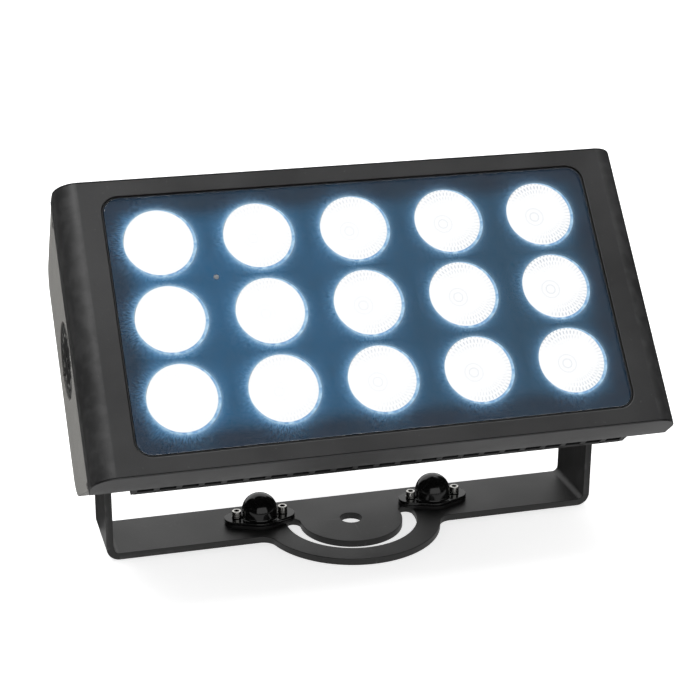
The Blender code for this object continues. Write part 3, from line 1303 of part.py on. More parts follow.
def half_ring(bm, centre):
    """Half loop of round rod about an axis along X, its two ends pointing at the fins."""
    steps, sides = SMALL_STEPS, BORE_STEPS
    ring = []
    for i in range(steps + 1):
        turn = math.pi * i / steps
        outwards = Vector((0, math.sin(turn), math.cos(turn)))
        middle = Vector(centre) + outwards * EYE_RING_RADIUS
        loop = []
        for j in range(sides):
            angle = math.tau * (j + 0.5) / sides
            spoke = outwards * math.cos(angle) + Vector((1, 0, 0)) * math.sin(angle)
            loop.append(bm.verts.new(middle + spoke * EYE_ROD_RADIUS))
        ring.append(loop)
    for near, far in zip(ring, ring[1:]):
        for j in range(sides):
            after = (j + 1) % sides
            bm.faces.new((near[j], near[after], far[after], far[j]))
    bm.faces.new(ring[0])
    bm.faces.new(ring[-1])


def add_electronics(head, brick_grey, board_green):
    """Power supply and driver board on the housing's floor."""
    floor = HOUSING_FRONT + HOUSING_WALL + FIT
    width, height = ELECTRONICS_REACH - ELECTRONICS_SPLIT, ELECTRONICS_HEIGHT
    x, z = (ELECTRONICS_REACH + ELECTRONICS_SPLIT) / 2, BOARD_TOP - ELECTRONICS_HEIGHT / 2
    brick = bmesh.new()
    outline = rounded_rectangle(width, height, CONTROL_POST_RADIUS, (-x, z))
    prism(brick, outline, "Y", at_depth(floor), at_depth(floor + SUPPLY_LENGTH))
    add_object("power_supply", brick, brick_grey, head)

    sheet = bmesh.new()
    near = floor + DRIVER_STAND
    outline = rounded_rectangle(width, height, CONTROL_POST_RADIUS, (x, z))
    prism(sheet, outline, "Y", at_depth(near), at_depth(near + BOARD_THICKNESS))
    board = add_object("driver_board", sheet, board_green, head)
    stands = bmesh.new()
    for side in (-1, 1):
        for level in (-1, 1):
            post_x = x + side * (width / 2 - 2 * CONTROL_POST_RADIUS)
            post_z = z + level * (height / 2 - 2 * CONTROL_POST_RADIUS)
            low, high = at_depth(floor), at_depth(near + FUSE)
            rod(stands, "Y", (post_x, 0, post_z), CONTROL_POST_RADIUS, low, high, BORE_STEPS)
    fuse(board, "driver_board_stands", stands)
    parts = bmesh.new()
    top = near + BOARD_THICKNESS - FUSE
    coil, capacitor = width / 6, width / 10
    rod(parts, "Y", (x - coil, 0, z + coil), coil, at_depth(top), at_depth(top + coil))
    rod(parts, "Y", (x + coil, 0, z + coil), capacitor, at_depth(top), at_depth(top + 3 * capacitor))
    rod(parts, "Y", (x + coil, 0, z - coil), capacitor, at_depth(top), at_depth(top + 3 * capacitor))
    fuse(board, "driver_board_parts", parts)


def main():
    """Builds the floodlight."""
    clear_scene()
    satin = material("satin black paint", (0.035, 0.035, 0.036), 0.45)
    bezel_black = material("bezel black paint", (0.035, 0.035, 0.036), 0.45)
    cheek_black = material("cheek black paint", (0.05, 0.05, 0.048), 0.5)
    gloss = material("gloss black", (0.01, 0.01, 0.01), 0.12)
    cam_black = material("blackened steel", (0.02, 0.02, 0.02), 0.4, 0.6)
    rubber = material("black rubber", (0.012, 0.012, 0.012), 0.7)
    steel = material("stainless steel", (0.6, 0.6, 0.58), 0.25, 1.0)
    brass = material("pin steel", (0.5, 0.5, 0.48), 0.35, 1.0)
    glass = material("clear glass", (0.8, 0.85, 0.88), 0.02)
    panel_black = material("panel dark", (0.03, 0.05, 0.08), 0.4)
    lens_clear = material("lens acrylic", (0.9, 0.95, 1.0), 0.15)
    board_white = material("white board", (0.75, 0.75, 0.72), 0.5)
    board_green = material("green board", (0.03, 0.18, 0.07), 0.45)
    sensor_grey = material("sensor grey", (0.4, 0.42, 0.44), 0.4)
    anodised = material("black anodised fins", (0.02, 0.02, 0.021), 0.5, 0.5)
    cast = material("cast housing black", (0.03, 0.03, 0.03), 0.55)
    display_black = material("display pane", (0.01, 0.012, 0.015), 0.08)
    button_grey = material("button grey", (0.12, 0.12, 0.12), 0.5)
    socket_black = material("socket black", (0.015, 0.015, 0.016), 0.4)
    vent_grey = material("vent grey", (0.1, 0.1, 0.1), 0.5)
    brick_grey = material("supply case", (0.45, 0.46, 0.47), 0.35, 0.8)

    add_yoke(satin)
    add_quick_locks(gloss, steel, cam_black)
    add_tilt_pivots(satin, brass, rubber, steel)

    head = bpy.data.objects.new("head_axis", None)
    head.location = (0, SWIVEL_Y, PIVOT_HEIGHT)
    head.rotation_euler = (-TILT_AT_REST, 0, 0)
    bpy.context.collection.objects.link(head)

    add_front_frame(head, bezel_black, rubber, glass)
    add_optics(head, panel_black, lens_clear, board_white, sensor_grey)
    add_heat_sink(head, anodised)
    add_cheeks(head, cheek_black)
    add_housing(head, cast, rubber)
    add_rear_cover(head, cast)
    add_controls(head, display_black, button_grey, board_green)
    add_sockets(head, socket_black)
    add_rear_fittings(head, steel, vent_grey)
    add_electronics(head, brick_grey, board_green)
    settle()


main()
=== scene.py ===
"""Looks of the LED floodlight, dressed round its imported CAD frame. Lengths here are in millimetres
until a mesh is made. Head coordinates are (across, depth behind the front face, height)."""

import math

import bmesh
import bpy
import numpy as np
from mathutils import Matrix, Vector
from mathutils.geometry import delaunay_2d_cdt


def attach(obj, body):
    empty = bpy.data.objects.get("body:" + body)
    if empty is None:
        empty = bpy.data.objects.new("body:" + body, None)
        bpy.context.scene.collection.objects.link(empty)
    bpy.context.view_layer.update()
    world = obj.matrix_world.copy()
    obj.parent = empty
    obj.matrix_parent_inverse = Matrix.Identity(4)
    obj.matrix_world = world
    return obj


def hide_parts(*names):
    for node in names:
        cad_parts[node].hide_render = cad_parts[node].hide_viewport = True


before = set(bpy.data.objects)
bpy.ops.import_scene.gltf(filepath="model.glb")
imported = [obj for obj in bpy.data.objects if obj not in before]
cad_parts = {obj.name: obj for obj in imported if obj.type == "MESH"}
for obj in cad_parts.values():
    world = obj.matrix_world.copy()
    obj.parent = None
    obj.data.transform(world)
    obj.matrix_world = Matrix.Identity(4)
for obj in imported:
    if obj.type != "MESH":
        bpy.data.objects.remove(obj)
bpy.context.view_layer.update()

# Sizes of the CAD source, in millimetres and radians
FIT = 0.3
TILT = math.radians(41.6)
PIVOT_Y, PIVOT_Z = -10.0, 118.7
FACE_TO_PIVOT = 47.5
HALF_YOKE, PLATE, BEND = 145.85, 4.0, 7.5
HALF_BAR = 21.05
SWIVEL_RADIUS = 6.45
SLOT_INNER, SLOT_OUTER, SLOT_SWEEP = 30.2, 38.7, math.radians(94)
LOBE_RADIUS, LOBE_FILLET = 52.5, 8.0
ARM_HEAD, ARM_NECK, SHOULDER_DROP, SHOULDER_RADIUS = 22.0, 15.0, 31.0, 10.0
CUP_X, CUP_Y = 53.0, -1.0
CUP_RADIUS, CUP_WALL, CUP_TOP, CUP_SHOULDER, CUP_FLARE = 10.4, 1.5, 21.7, 11.3, 1.2
EAR_OFFSET, EAR_RADIUS, EAR_HOLE, WAIST_RADIUS = 13.7, 7.2, 1.9, 12.6
KEY_RADIUS, KEY_REACH, KEY_HALF = 4.9, 7.5, 2.2
CAM_LOW, CAM_HIGH = 4.3, 6.2
FLANGE_LOW, FLANGE_HIGH = 6.5, 8.1
WASHER = (2.9, 1.0)
HALF_WIDTH, HALF_HEIGHT, BEZEL_DEPTH = 162.0, 83.75, 23.5
SIDE_RADIUS = 13.0
WINDOW = (276.6, 147.9, 9.5)
WINDOW_LIP = 0.55
REBATE_DEPTH, LEDGE = 4.5, 1.6
GLASS_FRONT, GLASS_BACK = 0.4, 3.4
FILM_FRONT, FILM_BACK, PANEL_BACK = 3.45, 3.6, 6.7
LENS_PITCH, LENS_RAISE = (54.4, 44.45), 1.5
LENS_RADIUS, LENS_FACE, LENS_BASE = 19.7, 3.9, 20.4
POST_RADIUS, POST_END = 3.0, 21.6
BODY_FRONT, BODY_DEPTH, TAPER = 23.8, 85.0, math.tan(math.radians(14))
CHEEK_HALF, INNER_HALF, REAR_RADIUS = 81.7, 81.0, 15.0
HALF_SINK, SINK_REAR, SINK_TIPS, SINK_HALF = 139.5, 33.8, 84.3, 83.2
FIN_PITCH, FIN_THICKNESS, FIN_COUNT = 12.0, 3.0, 24
HOUSING_GAP, HOUSING_PAD = 1.2, (100, 44)
PIVOT_BLOCK_INNER, PIVOT_BORE, PIVOT_BLOCK_HALF = 117.0, 8.0, 15.0
CHEEK_INNER, CAP_RADIUS, CAP_HOLE = 147.5, 21.0, 21.4
WEB_LENGTH, WEB_HEIGHT, LUG = 48.5, 50.0, (4.0, 14.0)
CAP_FACE, CAP_SEAT = 161.3, 146.15
CAP_SCREW_OFFSET, CAP_SCREW_HOLE, CAP_SCREW_LENGTH = 4.0, 2.3, 24.15
HOUSING, HOUSING_WALL = (160.0, 104.0, 8.0), 3.0
HOUSING_FRONT, HOUSING_REAR = 45.0, 97.0
COVER_FRONT, COVER_REAR = 98.8, 102.3
BOSS_COLUMN, BOSS_ROW, BOSS_RADIUS = 73.5, 45.5, 5.0
DISPLAY_HOLE, DISPLAY_RECESS, DISPLAY = (50, 14, 0.5), (56.6, 20.6, 1.2), (56, 20, 0.9)
DISPLAY_SPOT = (0.0, 33.0)
SOCKETS = (("data_outlet", -57.0), ("data_inlet", -19.0), ("power_inlet", 19.0), ("power_outlet", 57.0))
SOCKET_ROW, SOCKET_HOLE = -24.0, 12.8
SOCKET_PLATE, SOCKET_SCREW_SPOT = (27, 31, 3), (10.4, 12.4)
BUTTONS = (("menu_button", -27.0), ("down_button", -9.0), ("up_button", 9.0), ("enter_button", 27.0))
BUTTON_ROW, BUTTON_HOLE = 8.0, 4.8
EYE, EYE_BASE, EYE_LOOP, EYE_ROD = (114.0, 22.0), (32, 36, 3), 13.0, 3.0
VENT, VENT_HOLE = (55.0, 33.0), 3.3
SIDES = (("left", -1), ("right", 1))

# Cap screws: radius and height of the head, across the socket's flats from the middle, radius of the shank
SOCKET_SCREW = (1.9, 1.3, 0.75, 1.1)
M2 = (1.75, 2.0, 0.9, 1.0)
M3 = (2.75, 3.0, 1.6, 1.5)
M4 = (3.5, 4.0, 1.75, 1.9)


# Outlines in two coordinates

def rounded(corners, steps=8):
    """Closed outline through corners (u, v, radius): each corner is an arc that touches both its sides."""
    corner = np.array(corners, float)
    place, radius = corner[:, :2], corner[:, 2]
    before = np.roll(place, 1, axis=0) - place
    after = np.roll(place, -1, axis=0) - place
    before /= np.linalg.norm(before, axis=1)[:, None]
    after /= np.linalg.norm(after, axis=1)[:, None]
    middle = before + after
    middle /= np.linalg.norm(middle, axis=1)[:, None]
    half = np.arccos(np.clip((before * middle).sum(1), -1, 1))
    centre = place + middle * (radius / np.sin(half))[:, None]
    first = place + before * (radius / np.tan(half))[:, None] - centre
    side = np.sign(before[:, 1] * after[:, 0] - before[:, 0] * after[:, 1])
    turn = (side * (math.pi - 2 * half))[:, None] * np.linspace(0, 1, steps + 1)
    u = first[:, :1] * np.cos(turn) - first[:, 1:] * np.sin(turn)
    v = first[:, :1] * np.sin(turn) + first[:, 1:] * np.cos(turn)
    return tidy_loop(np.stack([centre[:, :1] + u, centre[:, 1:] + v], axis=2).reshape(-1, 2))


def tidy_loop(loop):
    """The loop without points that repeat the one before."""
    gap = np.linalg.norm(loop - np.roll(loop, 1, axis=0), axis=1)
    return loop[gap > 1e-4]


def rectangle(width, height, radius=0.0, centre=(0.0, 0.0), steps=8):
    """Rectangle with four equal round corners."""
    u, v = width / 2, height / 2
    corners = [(-u, -v, radius), (u, -v, radius), (u, v, radius), (-u, v, radius)]
    return rounded(corners, steps) + np.array(centre)


def polar(turn, radius):
    """Point at an angle and a distance from the middle."""
    return radius * np.array([math.cos(turn), math.sin(turn)])


def arc(centre, radius, start, end, steps):
    """Points on a circle between two angles, both ends included."""
    turn = np.linspace(start, end, steps + 1)
    return np.stack([centre[0] + radius * np.cos(turn), centre[1] + radius * np.sin(turn)], axis=1)


def circle(centre, radius, steps=48):
    """Closed circle."""
    return arc(centre, radius, 0, math.tau, steps)[:-1]


def mirrored(half):
    """The right half of a line with its image before it."""
    return np.concatenate([half[::-1] * [-1, 1], half])


def oriented(loop, anticlockwise):
    """The loop, turned round where it doesn't run the wanted way: by the sign of its area, the sum of cross
    products of neighbouring points."""
    after = np.roll(loop, -1, axis=0)
    area = (loop[:, 0] * after[:, 1] - loop[:, 1] * after[:, 0]).sum()
    return loop if (area > 0) == anticlockwise else loop[::-1]


def inset(loop, distance):
    """Moves each point to the left of the loop's run, along the mean of its two sides' normals."""
    side = np.roll(loop, -1, axis=0) - loop
    normal = np.stack([-side[:, 1], side[:, 0]], axis=1) / np.linalg.norm(side, axis=1)[:, None]
    before = np.roll(normal, 1, axis=0)
    spread = 1 + (normal * before).sum(1)
    return loop + distance * (normal + before) / np.maximum(spread, 0.35)[:, None]


def is_inside(points, loops):
    """Even-odd rule: a ray to the right crosses all the loops' sides an odd number of times."""
    hits = np.zeros(len(points), int)
    for loop in loops:
        after = np.roll(loop, -1, axis=0)
        over = (loop[:, 1] > points[:, 1:]) != (after[:, 1] > points[:, 1:])
        rise = np.where(after[:, 1] == loop[:, 1], 1.0, after[:, 1] - loop[:, 1])
        meet = loop[:, 0] + (points[:, 1:] - loop[:, 1]) * (after[:, 0] - loop[:, 0]) / rise
        hits += (over & (points[:, :1] < meet)).sum(1)
    return hits % 2 == 1


def fill(loops, stations=()):
    """Triangles between an outline and its holes. At each station two points with that first coordinate
    are joined by a line, so that the face can be bent there."""
    points = np.concatenate(loops)
    edges = []
    start = 0
    for loop in loops:
        count = len(loop)
        edges += [(start + i, start + (i + 1) % count) for i in range(count)]
        start += count
    for station in stations:
        pair = np.flatnonzero(np.abs(points[:, 0] - station) < 1e-4)
        edges.append((int(pair[0]), int(pair[-1])))
    flat = [Vector(point) for point in points]
    places, _, faces, source = delaunay_2d_cdt(flat, edges, [], 0, 1e-6)[:4]
    faces = np.array([face for face in faces if len(face) == 3])
    places = np.array([tuple(place) for place in places])
    keep = is_inside(places[faces].mean(1), loops)
    source = np.array([found[0] for found in source])
    return source[faces[keep]]


def cut_at(loop, stations):
    """The loop with extra points where its sides cross the given first coordinates."""
    for station in stations:
        after = np.roll(loop, -1, axis=0)
        crossing = np.flatnonzero((loop[:, 0] - station) * (after[:, 0] - station) < -1e-9)
        share = (station - loop[crossing, 0]) / (after[crossing, 0] - loop[crossing, 0])
        extra = loop[crossing] + (after[crossing] - loop[crossing]) * share[:, None]
        loop = np.insert(loop, crossing + 1, extra, axis=0)
    return loop


# Surfaces: each is points (n, 3) and a list of faces

def strips(rows, columns, closed=True):
    """Four-sided faces of a grid, row by row. A closed grid joins its last column to its first."""
    last = columns if closed else columns - 1
    row, column = np.meshgrid(np.arange(rows - 1), np.arange(last), indexing="ij")
    first, second = row * columns, (row + 1) * columns
    after = (column + 1) % columns
    return np.stack([first + column, first + after, second + after, second + column], axis=-1).reshape(-1, 4)


def join(*surfaces):
    """Several surfaces as one."""
    points, faces = [], []
    start = 0
    for some, their in surfaces:
        points.append(some)
        faces += [tuple(int(i) + start for i in face) for face in their]
        start += len(some)
    return np.concatenate(points), faces


def copies(surface, places):
    """The surface repeated at each offset."""
    return join(*[(surface[0] + np.array(place), surface[1]) for place in places])


def wall(loop, low, high, edge=0.3, steps=3, opening=False):
    """Rings of a straight wall, lowest first. At both ends it leans into the solid by a quarter circle."""
    loop = oriented(loop, not opening)
    turn = np.linspace(0, math.pi / 2, steps + 1) if edge > 0 else np.array([math.pi / 2])
    away, rise = edge * (1 - np.sin(turn)), edge * (1 - np.cos(turn))
    levels = np.concatenate([low + rise, (high - rise)[::-1]])
    return [(inset(loop, a), level) for a, level in zip(np.concatenate([away, away[::-1]]), levels)]


def hole(loop, low, high, edge):
    """Rings of a straight opening with round rims."""
    return wall(loop, low, high, edge, opening=True)


def step_wall(loop, grown, low, seat, high, edge):
    """Rings of a stepped opening: the loop up to the seat, then the grown loop with a round rim."""
    small, large = oriented(loop, False), oriented(grown, False)
    return [(small, low), (small, seat), (large, seat)] + hole(large, seat, high, edge)[-4:]


def pocket(loop, floor, high, edge=0.2):
    """Rings of a blind pocket: straight from its floor to a round rim."""
    return [(oriented(loop, False), floor)] + hole(loop, floor, high, edge)[-4:]


def plate(outline, openings=(), pockets=(), stations=()):
    """Closed plate of stacked rings. The outline and the openings run from the lower to the upper face, and a
    pocket from its own floor to the upper face. Both faces are filled between the rings that end on them."""
    points, faces, lowest, highest = [], [], [], []
    start = 0
    for rings in [outline, *openings, *pockets]:
        count = len(rings[0][0])
        points += [np.column_stack([loop, np.full(count, level)]) for loop, level in rings]
        faces += (strips(len(rings), count) + start).tolist()
        lowest.append(np.arange(count) + start)
        highest.append(np.arange(count) + start + (len(rings) - 1) * count)
        start += len(rings) * count
    through = 1 + len(openings)
    lower = fill([rings[0][0] for rings in [outline, *openings]], stations)
    upper = fill([rings[-1][0] for rings in [outline, *openings, *pockets]], stations)
    faces += np.concatenate(lowest[:through])[lower[:, ::-1]].tolist()
    faces += np.concatenate(highest)[upper].tolist()
    faces += [tuple(ring.tolist()) for ring in lowest[through:]]
    return np.concatenate(points), faces


def slab(loop, low, high, edge, holes=(), rim=0.1):
    """Plate between two levels with round edges, and straight holes with finer rims."""
    return plate(wall(loop, low, high, edge), [hole(each, low, high, rim) for each in holes])


def frame_sweep(loop, section):
    """Closed section of (inset, level) points carried round a loop."""
    closed = section + section[:1]
    rings = [np.column_stack([inset(loop, away), np.full(len(loop), level)]) for away, level in closed]
    return np.concatenate(rings), strips(len(rings), len(loop)).tolist()


def turned(profile, steps=64, hexed=range(0)):
    """Surface of revolution: a profile of (radius, height) carried round the third axis. The points whose
    indexes are hexed follow a regular hexagon: its distance goes with one over the cosine of the angle from
    a side's middle."""
    profile = np.array(profile, float)
    angle = np.linspace(0, math.tau, steps, endpoint=False)
    radius = np.repeat(profile[:, :1], steps, axis=1)
    from_middle = np.mod(angle + math.pi / 6, math.pi / 3) - math.pi / 6
    for index in hexed:
        radius[index] *= math.cos(math.pi / 6) / np.cos(from_middle)
    height = np.repeat(profile[:, 1:], steps, axis=1)
    points = np.stack([radius * np.cos(angle), radius * np.sin(angle), height], axis=-1)
    return points.reshape(-1, 3), strips(len(profile), steps).tolist()


def rod(radius, low, high, steps=24):
    """Plain round rod about the third axis."""
    return turned([(0, low), (radius, low), (radius, high), (0, high)], steps)


def corner(radius, height, size, steps=4, start=0.0):
    """Profile points of a rounded edge, from a side into a top."""
    turns = np.linspace(start, math.pi / 2, steps + 1)
    return [(radius - size + size * math.cos(t), height - size + size * math.sin(t)) for t in turns]


def tube(path, radius, steps, across=(1.0, 0.0, 0.0)):
    """Round rod: a circle carried along a path of points, square to it, with flat ends."""
    run = np.gradient(path, axis=0)
    run /= np.linalg.norm(run, axis=1)[:, None]
    first = np.cross(run, np.array(across))
    first /= np.linalg.norm(first, axis=1)[:, None]
    second = np.cross(run, first)
    angle = np.linspace(0, math.tau, steps, endpoint=False)
    ring = first[:, None] * np.cos(angle)[None, :, None] + second[:, None] * np.sin(angle)[None, :, None]
    points = (path[:, None] + radius * ring).reshape(-1, 3)
    last = (len(path) - 1) * steps
    caps = [tuple(range(steps)), tuple(range(last, last + steps))]
    return points, strips(len(path), steps).tolist() + caps


# Ways of laying a surface's three coordinates (u, v, w) in space

def on_head(points):
    """Turns head coordinates by the tilt about the pivot, into the row frame."""
    back = points[:, 1] - FACE_TO_PIVOT
    up = points[:, 2]
    y = PIVOT_Y + back * math.cos(TILT) + up * math.sin(TILT)
    z = PIVOT_Z - back * math.sin(TILT) + up * math.cos(TILT)
    return np.column_stack([points[:, 0], y, z])


def faced(surface, centre=(0.0, 0.0)):
    """Laid as across, height and depth on the head, about a centre."""
    points, faces = surface
    return on_head(np.column_stack([points[:, 0] + centre[0], points[:, 2], points[:, 1] + centre[1]])), faces


def sided(surface, side):
    """Laid as depth, height and distance across on one side of the head."""
    points, faces = surface
    return on_head(np.column_stack([side * points[:, 2], points[:, 0], points[:, 1]])), faces


def outward(surface, side):
    """Laid on the tilt axis of the bracket: w runs outwards from the middle."""
    points, faces = surface
    return np.column_stack([side * points[:, 2], PIVOT_Y + points[:, 0], PIVOT_Z + points[:, 1]]), faces


def folded(points):
    """Bends the flat pattern of the yoke: past the bar's straight part the strip follows a quarter circle and
    then stands upright. Flat coordinates are (run, across, height in the plate)."""
    run, across, height = points.T
    straight = HALF_YOKE - BEND
    length = math.pi / 2 * (BEND - PLATE / 2)
    past = np.clip(np.abs(run) - straight, 0, length)
    turn = past / (BEND - PLATE / 2)
    over = np.maximum(np.abs(run) - straight - length, 0)
    radius = BEND - height
    x = np.minimum(np.abs(run), straight) + radius * np.sin(turn)
    z = BEND - radius * np.cos(turn) + over
    return np.column_stack([np.sign(run) * x, across, z])


# Pieces


def make_piece(name, surface, finish, stands_for=(), body="head", sharp=35, place=None, pattern=None):
    """A named mesh piece in the row frame that rides on a body. Place, in millimetres, and pattern are kept
    as attributes of its points."""
    points, faces = surface
    mesh = bpy.data.meshes.new(name)
    mesh.from_pydata((points * 0.001).tolist(), [], faces)
    kept = (("place", "FLOAT_VECTOR", "vector", place), ("pattern", "FLOAT", "value", pattern))
    for label, kind, key, values in kept:
        if values is not None:
            layer = mesh.attributes.new(label, kind, "POINT")
            layer.data.foreach_set(key, np.asarray(values, np.float32).ravel())
    work = bmesh.new()
    work.from_mesh(mesh)
    bmesh.ops.remove_doubles(work, verts=work.verts, dist=2e-6)
    bmesh.ops.dissolve_degenerate(work, edges=work.edges, dist=1e-6)
    bmesh.ops.recalc_face_normals(work, faces=work.faces)
    work.to_mesh(mesh)
    work.free()
    mesh.shade_smooth()
    mesh.set_sharp_from_angle(angle=math.radians(sharp))
    mesh.materials.append(FINISHES[finish])
    piece = bpy.data.objects.new(name, mesh)
    bpy.context.scene.collection.objects.link(piece)
    even = piece.modifiers.new("even normals", "WEIGHTED_NORMAL")
    even.keep_sharp = True
    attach(piece, body)
    if stands_for:
        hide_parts(*stands_for)


# Shared shapes

def screw(size, length, washer=None):
    """Cap screw about the third axis, its head's underside at zero: shank, optional washer, head with round
    rim and a hexagon socket."""
    head, height, socket, shank = size
    profile = [(0, -length), (shank, -length), (shank, -washer[1] if washer else 0)]
    if washer:
        radius, thick = washer
        profile += [(radius - 0.15, -thick), (radius, -thick + 0.15), (radius, -0.15), (radius - 0.15, 0)]
    profile += [(head, 0)] + corner(head, height, 0.12 * head) + [(socket * 1.06, height)]
    first = len(profile)
    profile += [(socket, height - 0.1), (socket, height * 0.4), (0, height * 0.4 - 0.3 * socket)]
    return turned(profile, 48, range(first, len(profile)))


def add_screw_pair(name, node, size, length, spots, lay, washer=None):
    """Two bright cap screws of the bracket as one piece. The pattern is one inside their sockets, where the
    steel gets painted shade.
    """
    one = screw(size, length, washer)
    across = np.hypot(one[0][:, 0], one[0][:, 1])
    inside = (across < size[2] * 1.04) & (one[0][:, 2] > 0)
    nodes = [f"{node}_{number}" for number in (1, 2)]
    make_piece(name, lay(copies(one, spots)), "steel", nodes, "bracket", pattern=np.tile(inside, 2))


def add_screws(name, size, length, spots, depth, finish="dark_steel"):
    """Cap screws that point into the head from behind, with their heads' undersides at one depth."""
    make_piece(name, faced(copies(screw(size, length), [(*spot, depth) for spot in spots])), finish)


def oval(steps=14):
    """Oval flange of a quick lock: a round waist and two round ears, joined by common tangents."""
    lean = math.acos((WAIST_RADIUS - EAR_RADIUS) / EAR_OFFSET)
    right = arc((EAR_OFFSET, 0), EAR_RADIUS, -lean, lean, steps)
    top = arc((0, 0), WAIST_RADIUS, lean, math.pi - lean, 12)
    left = arc((-EAR_OFFSET, 0), EAR_RADIUS, math.pi - lean, math.pi + lean, steps)
    low = arc((0, 0), WAIST_RADIUS, math.pi + lean, math.tau - lean, 12)
    return tidy_loop(np.concatenate([right, top, left, low]))


def side_profile(high, front, rear, steps=12):
    """Side view of the body behind the frame in (depth, height), tapered, with round rear corners."""
    near, far = high - (front - BODY_FRONT) * TAPER, high - (rear - BODY_FRONT) * TAPER
    corners = [(front, -near, 0), (rear, -far, REAR_RADIUS), (rear, far, REAR_RADIUS), (front, near, 0)]
    return rounded(corners, steps)


# Bracket

def arm_side():
    """Side view of an arm from its front foot over its round head to its rear foot, in (y, z)."""
    reach = ARM_HEAD + ARM_NECK
    neck_y = -HALF_BAR - ARM_NECK
    neck_z = PIVOT_Z - math.sqrt(reach**2 - (neck_y - PIVOT_Y) ** 2)
    lean = math.atan2(PIVOT_Z - neck_z, PIVOT_Y - neck_y)
    neck = arc((neck_y, neck_z), ARM_NECK, 0, lean, 8)
    away = np.array([HALF_BAR - PIVOT_Y, -SHOULDER_DROP])
    tangent = math.atan2(away[1], away[0]) + math.acos(ARM_HEAD / np.linalg.norm(away))
    head = arc((PIVOT_Y, PIVOT_Z), ARM_HEAD, lean + math.pi, tangent, 40)
    bend = (HALF_BAR, PIVOT_Z - SHOULDER_DROP, SHOULDER_RADIUS)
    shoulder = rounded([(HALF_BAR, 0, 0), bend, (*head[-1], 0)], 8)
    return np.concatenate([neck, head[1:-1], shoulder[::-1][:-1]])


def lobe_front():
    """Front edge of the bar's round lobe with its two fillets, from left to right, in (x, y)."""
    reach = LOBE_RADIUS + LOBE_FILLET
    fillet_y = -HALF_BAR - LOBE_FILLET
    fillet_x = math.sqrt(reach**2 - (fillet_y - PIVOT_Y) ** 2)
    lean = math.atan2(PIVOT_Y - fillet_y, fillet_x)
    right = arc((fillet_x, fillet_y), LOBE_FILLET, math.pi - lean, math.pi / 2, 10)
    front = arc((0, PIVOT_Y), LOBE_RADIUS, math.pi + lean, math.tau - lean, 72)
    return np.concatenate([right[::-1] * [-1, 1], front[1:-1], right])


def slot_loop():
    """Arc slot about the swivel hole, with round ends."""
    middle, half = (SLOT_INNER + SLOT_OUTER) / 2, (SLOT_OUTER - SLOT_INNER) / 2
    first, last = -math.pi / 2 - SLOT_SWEEP, -math.pi / 2 + SLOT_SWEEP
    centre = np.array([0, PIVOT_Y])
    return tidy_loop(np.concatenate([
        arc(centre, SLOT_OUTER, first, last, 80),
        arc(centre + polar(last, middle), half, last, last + math.pi, 12),
        arc(centre, SLOT_INNER, last, first, 80),
        arc(centre + polar(first, middle), half, first + math.pi, first + math.tau, 12),
    ]))


def cap_screw_spots():
    """The pair of cap screws about the tilt axis, in (back, up) from it."""
    offset = polar(math.radians(30), CAP_SCREW_OFFSET)
    return [-offset, offset]


def add_yoke():
    """Flat pattern of the bracket with its openings, bent up at both ends."""
    straight = HALF_YOKE - BEND
    bend = math.pi / 2 * (BEND - PLATE / 2)
    foot = straight + bend - BEND
    side = arm_side()
    side = side[side[:, 1] > BEND]
    right = np.column_stack([side[:, 1] + foot, side[:, 0]])
    stations = straight + bend * np.linspace(0, 1, 11)
    stations = np.concatenate([-stations[::-1], stations])
    pattern = np.concatenate([lobe_front(), right, right[::-1] * [-1, 1]])
    pattern = cut_at(oriented(pattern, True), stations)
    holes = [circle((0, PIVOT_Y), SWIVEL_RADIUS, 56), slot_loop()]
    for x in (-CUP_X, CUP_X):
        holes += [circle((x, CUP_Y), CUP_RADIUS - CUP_WALL)]
        holes += [circle((x + way * EAR_OFFSET, CUP_Y), EAR_HOLE, 20) for way in (-1, 1)]
    for way in (-1, 1):
        for back, up in cap_screw_spots():
            holes.append(circle((way * (foot + PIVOT_Z + up), PIVOT_Y + back), CAP_SCREW_HOLE, 20))
    openings = [hole(loop, 0, PLATE, 0.25) for loop in holes]
    points, faces = plate(wall(pattern, 0, PLATE, 0.35), openings, stations=stations)
    make_piece("bent_yoke", (folded(points), faces), "yoke", ["yoke"], "bracket")


def dome_surface():
    """Cup of a quick lock about the third axis: a domed wall of even thickness that flares at its foot."""
    turn = np.linspace(0, math.pi / 2, 17)
    rise = CUP_TOP - CUP_SHOULDER
    inner, low, reach = CUP_RADIUS - CUP_WALL, FLANGE_LOW + FIT, CUP_RADIUS + CUP_FLARE
    outside = np.column_stack([CUP_RADIUS * np.cos(turn), CUP_SHOULDER + rise * np.sin(turn)])
    inside = np.column_stack([inner * np.cos(turn), CUP_SHOULDER + (rise - CUP_WALL) * np.sin(turn)])
    flare = arc((reach, FLANGE_HIGH + CUP_FLARE), CUP_FLARE, -math.pi / 2, -math.pi, 6)
    return turned(np.concatenate([inside[::-1], [(inner, low), (reach, low)], flare, outside]), 72)


def key_loop():
    """Round hole with a straight keyway across it."""
    lean = math.asin(KEY_HALF / KEY_RADIUS)
    top = arc((0, 0), KEY_RADIUS, lean, math.pi - lean, 16)
    left = [(-KEY_REACH, KEY_HALF), (-KEY_REACH, -KEY_HALF)]
    return np.concatenate([top, left, -top, [(KEY_REACH, -KEY_HALF), (KEY_REACH, KEY_HALF)]])


